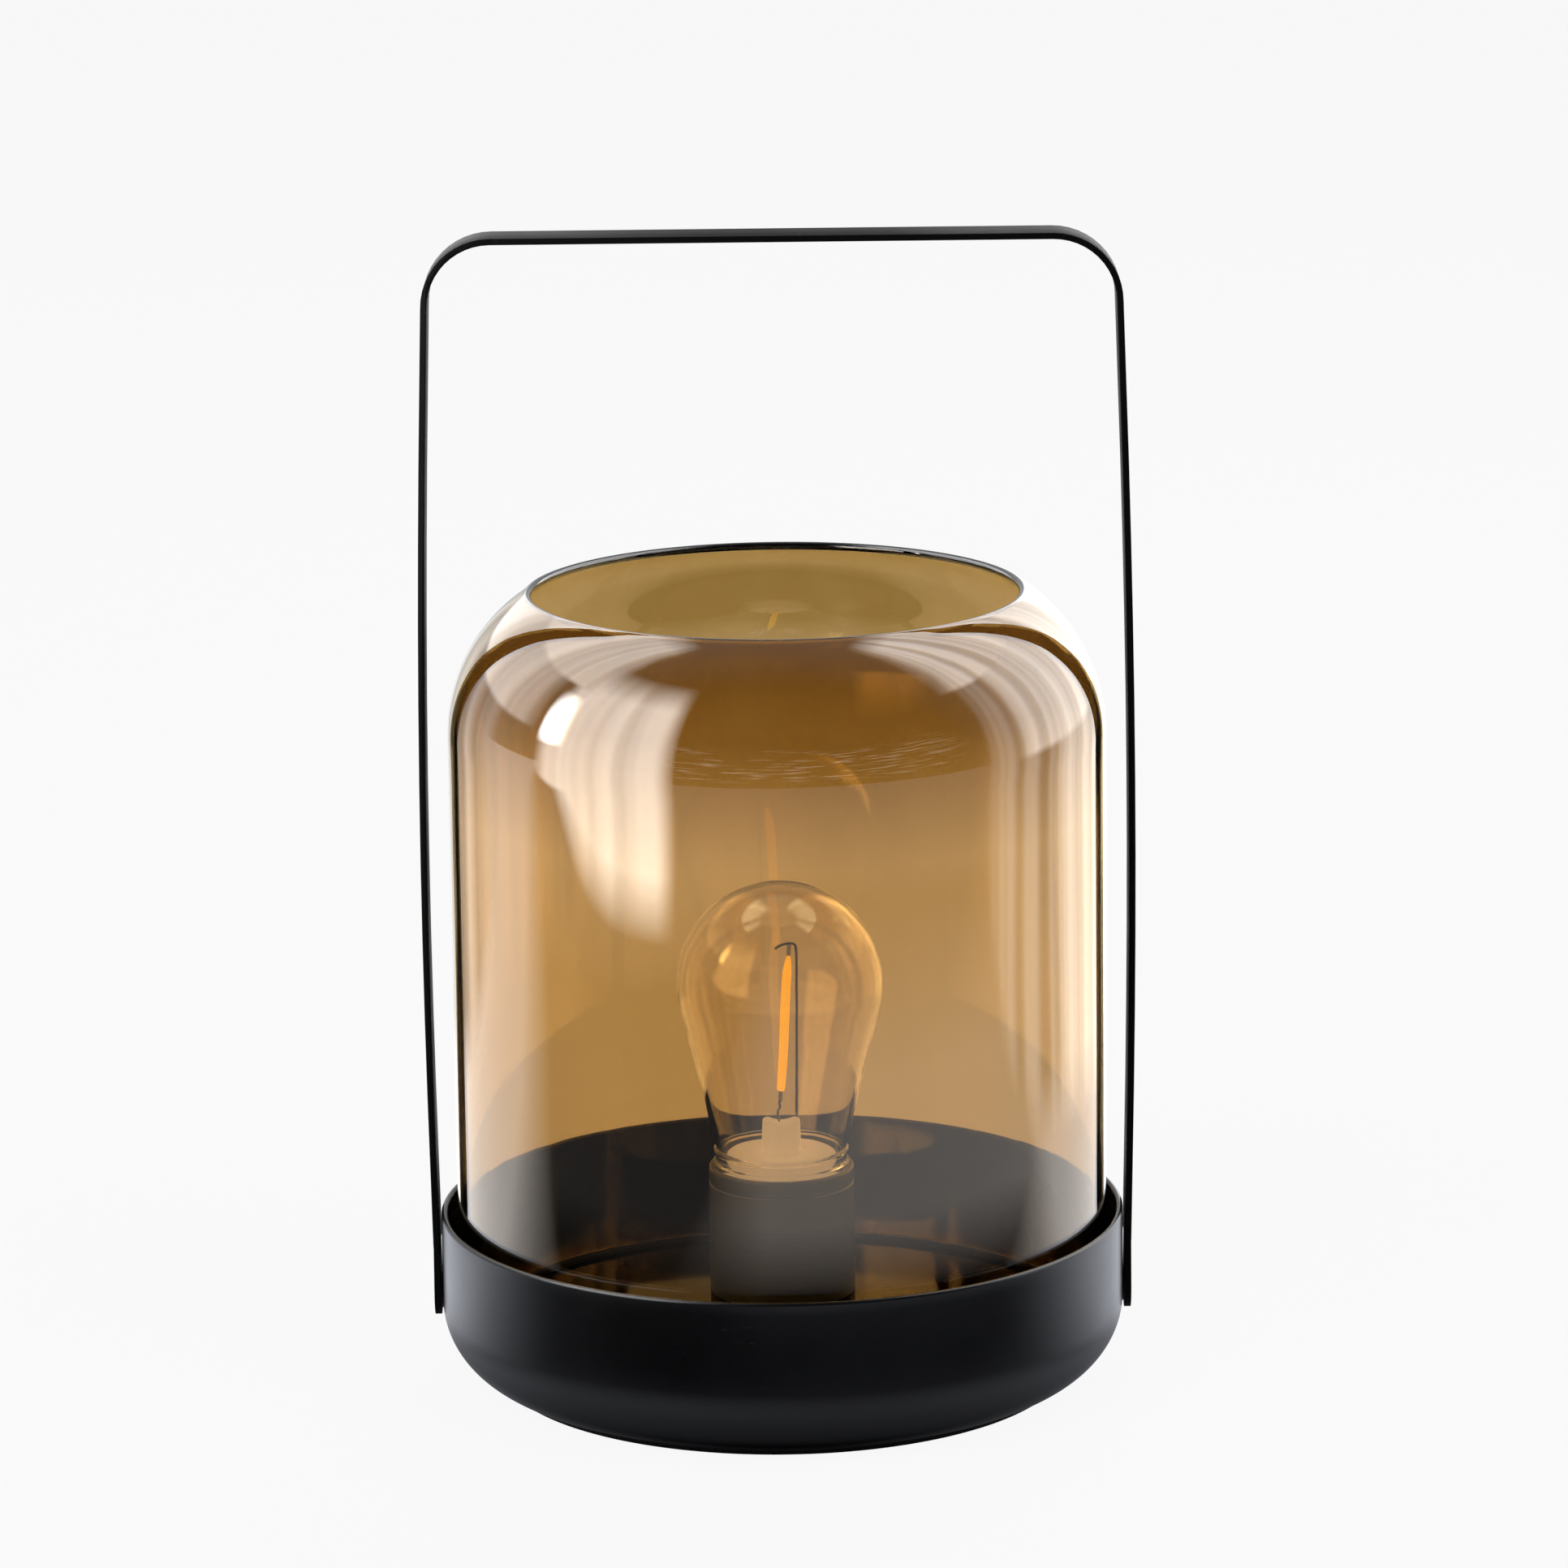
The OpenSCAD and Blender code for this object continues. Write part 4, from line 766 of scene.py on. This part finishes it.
def collar_ribs(a, z):
    """Twelve small upright ribs on the waist of the collar: r sinks by up to 0.25 mm between them,
    by 1 - cos(12 a) ** 6 where the cosine is positive."""
    waist = np.clip(1 - np.abs(z - post_z1 - 2.2) / 1.0, 0, 1)
    return -0.25 * waist * (1 - np.clip(np.cos(12 * a), 0, 1) ** 6)


bulb = lathe("clear_bulb", bulb_outline, "base", around=192, closed=False, ripple=collar_ribs)
clear, tree, shader = finish("clear_glass", (1.0, 0.97, 0.95), 0.0, Transmission_Weight=1.0,
                             IOR=1.5)
flow = grain(tree, 45.0, 2.0)
shade(tree, shader, flow, (0.98, 0.94, 0.92), (1.0, 0.975, 0.965))
bump(tree, shader, flow, 0.25)
bulb.data.materials.append(clear)
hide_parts("bulb_envelope")

# ---------------------------------------------------------------- cushion and glass
# Blown glass with an amber lustre coat. Its mouth is fire polished to a round bead, and its
# cut lower edge stands on a black silicone ring.
cushion_low, cushion_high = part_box("glass_cushion")
cushion_r, cushion_w = cushion_high.x / MM, 2.6
cushion_outline = rounded([
    (cushion_r - cushion_w, cushion_low.z / MM, 0.2), (cushion_r, cushion_low.z / MM, 0.2),
    (cushion_r, cushion_high.z / MM, 0.3), (cushion_r - cushion_w, cushion_high.z / MM, 0.3)])
cushion = lathe("silicone_ring", cushion_outline, "base", around=160)
cushion.data.materials.append(rubber)
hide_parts("glass_cushion")

glass_low, glass_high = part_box("glass_shade")
glass_r = glass_high.x / MM
glass_z0, glass_z1 = glass_low.z / MM, glass_high.z / MM
glass_t = 2.0
shoulder_r = 40.0
mouth_r = 57.8
shoulder_x = glass_r - shoulder_r
shoulder_turn = math.degrees(math.acos(1 - (glass_r - mouth_r) / shoulder_r))
bead_r = glass_t / 2
bead_reach = shoulder_r - bead_r
bead_x = shoulder_x + bead_reach * math.cos(math.radians(shoulder_turn))
bead_z = glass_z1 - bead_r
shoulder_z = bead_z - bead_reach * math.sin(math.radians(shoulder_turn))
cut_edge_r = 0.6
wall_z = np.linspace(glass_z0 + cut_edge_r, shoulder_z, 36)
glass_outline = np.concatenate([
    arc(glass_r - cut_edge_r, glass_z0 + cut_edge_r, cut_edge_r, -90, -10, 4),
    np.stack([np.full(len(wall_z), glass_r), wall_z], axis=1),
    arc(shoulder_x, shoulder_z, shoulder_r, 1, shoulder_turn - 1, 60),
    arc(bead_x, bead_z, bead_r, shoulder_turn, shoulder_turn + 180, 14),
    arc(shoulder_x, shoulder_z, shoulder_r - glass_t, shoulder_turn - 1, 1, 60),
    np.stack([np.full(len(wall_z), glass_r - glass_t), wall_z[::-1]], axis=1),
    arc(glass_r - glass_t + cut_edge_r, glass_z0 + cut_edge_r, cut_edge_r, 190, 270, 4)])


def blown(a, z):
    """Slow uneven swelling of hand-blown glass, always inwards of the true radius: three sines of
    the angle and the height, none of it at the cut edge."""
    up = (z - glass_z0) / (glass_z1 - glass_z0)
    wave = (np.sin(3 * a + 5 * up) + np.sin(7 * a - 9 * up + 1.3) * 0.6
            + np.sin(2 * a + 21 * up + 0.4) * 0.4)
    return 0.05 * (wave - 2.0) * np.clip(up * 8, 0, 1)


glass = lathe("amber_glass", glass_outline, "glass", around=360, ripple=blown)
amber, tree, shader = finish("amber_lustre_glass", (0.8, 0.6, 0.38), 0.0, Transmission_Weight=1.0,
                             IOR=1.75)
# Painted shade: the amber is darkened steeply from 138 mm up, over the top of the wall and the
# shoulder, standing in for the dim reflections there; random streaks in it vary the tone.
place = node(tree, "ShaderNodeTexCoord").outputs["Object"]
height = node(tree, "ShaderNodeSeparateXYZ", _0=place).outputs["Z"]
up = spread(tree, height, 0.0, 1.0, 0.138, 0.167)
streak = grain(tree, 40.0, 2.0, (1.0, 1.0, 0.15))
uneven = math_node(tree, "MULTIPLY", math_node(tree, "SUBTRACT", streak, 0.5), 0.3)
painted_shade_and_streaks = math_node(tree, "ADD", up, uneven)
shade(tree, shader, painted_shade_and_streaks, (0.745, 0.54, 0.27), (0.34, 0.2, 0.048))
bump(tree, shader, streak, 0.12)
glass.data.materials.append(amber)
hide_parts("glass_shade")

# ---------------------------------------------------------------- handle
# One flat steel strip, bent to a bail, drilled and countersunk, with the bowl's black coat. It
# turns on two flush screws, over nylon washers, in brass inserts.
matt_powder, tree, shader = finish("matt_powder_coat", (0.004, 0.004, 0.0045), 0.6,
                                   Specular_IOR_Level=0.07)
handle_scuffs = spread(tree, grain(tree, 500.0, 4.0, (1.0, 0.3, 0.1), 0.7), 0.0, 1.0, 0.64, 0.74)
shade(tree, shader, handle_scuffs, (0.002, 0.002, 0.0024), (0.02, 0.02, 0.022))
handling = grain(tree, 30.0, 3.0)
tree.links.new(spread(tree, handling, 0.52, 0.68, 0.3, 0.7), shader.inputs["Roughness"])
bump(tree, shader, grain(tree, 900.0, 2.0), 0.006)
over_pivots = 30.0
softened("handle_strip", "handle", "handle", matt_powder, 0.3,
         from_z=over_pivots)
oxide, tree, shader = finish("black_oxide", (0.02, 0.02, 0.022), 0.35, Metallic=0.6)
tool = grain(tree, 1500.0, 3.0)
shade(tree, shader, tool, (0.012, 0.012, 0.013), (0.04, 0.04, 0.042))
tree.links.new(spread(tree, tool, 0.28, 0.5), shader.inputs["Roughness"])
dress(["handle_screws"], oxide)
nylon, tree, shader = finish("black_nylon", (0.02, 0.02, 0.02), 0.5)
shade(tree, shader, grain(tree, 1500.0, 2.0), (0.012, 0.012, 0.012), (0.028, 0.028, 0.028))
dress(["handle_washers"], nylon)
brass, tree, shader = finish("turned_brass", (0.75, 0.56, 0.26), 0.3, Metallic=1.0)
ring_marks = grain(tree, 1500.0, 2.0, (4.0, 0.3, 0.3))
shade(tree, shader, ring_marks, (0.62, 0.45, 0.2), (0.82, 0.64, 0.32))
dress(["handle_inserts"], brass)
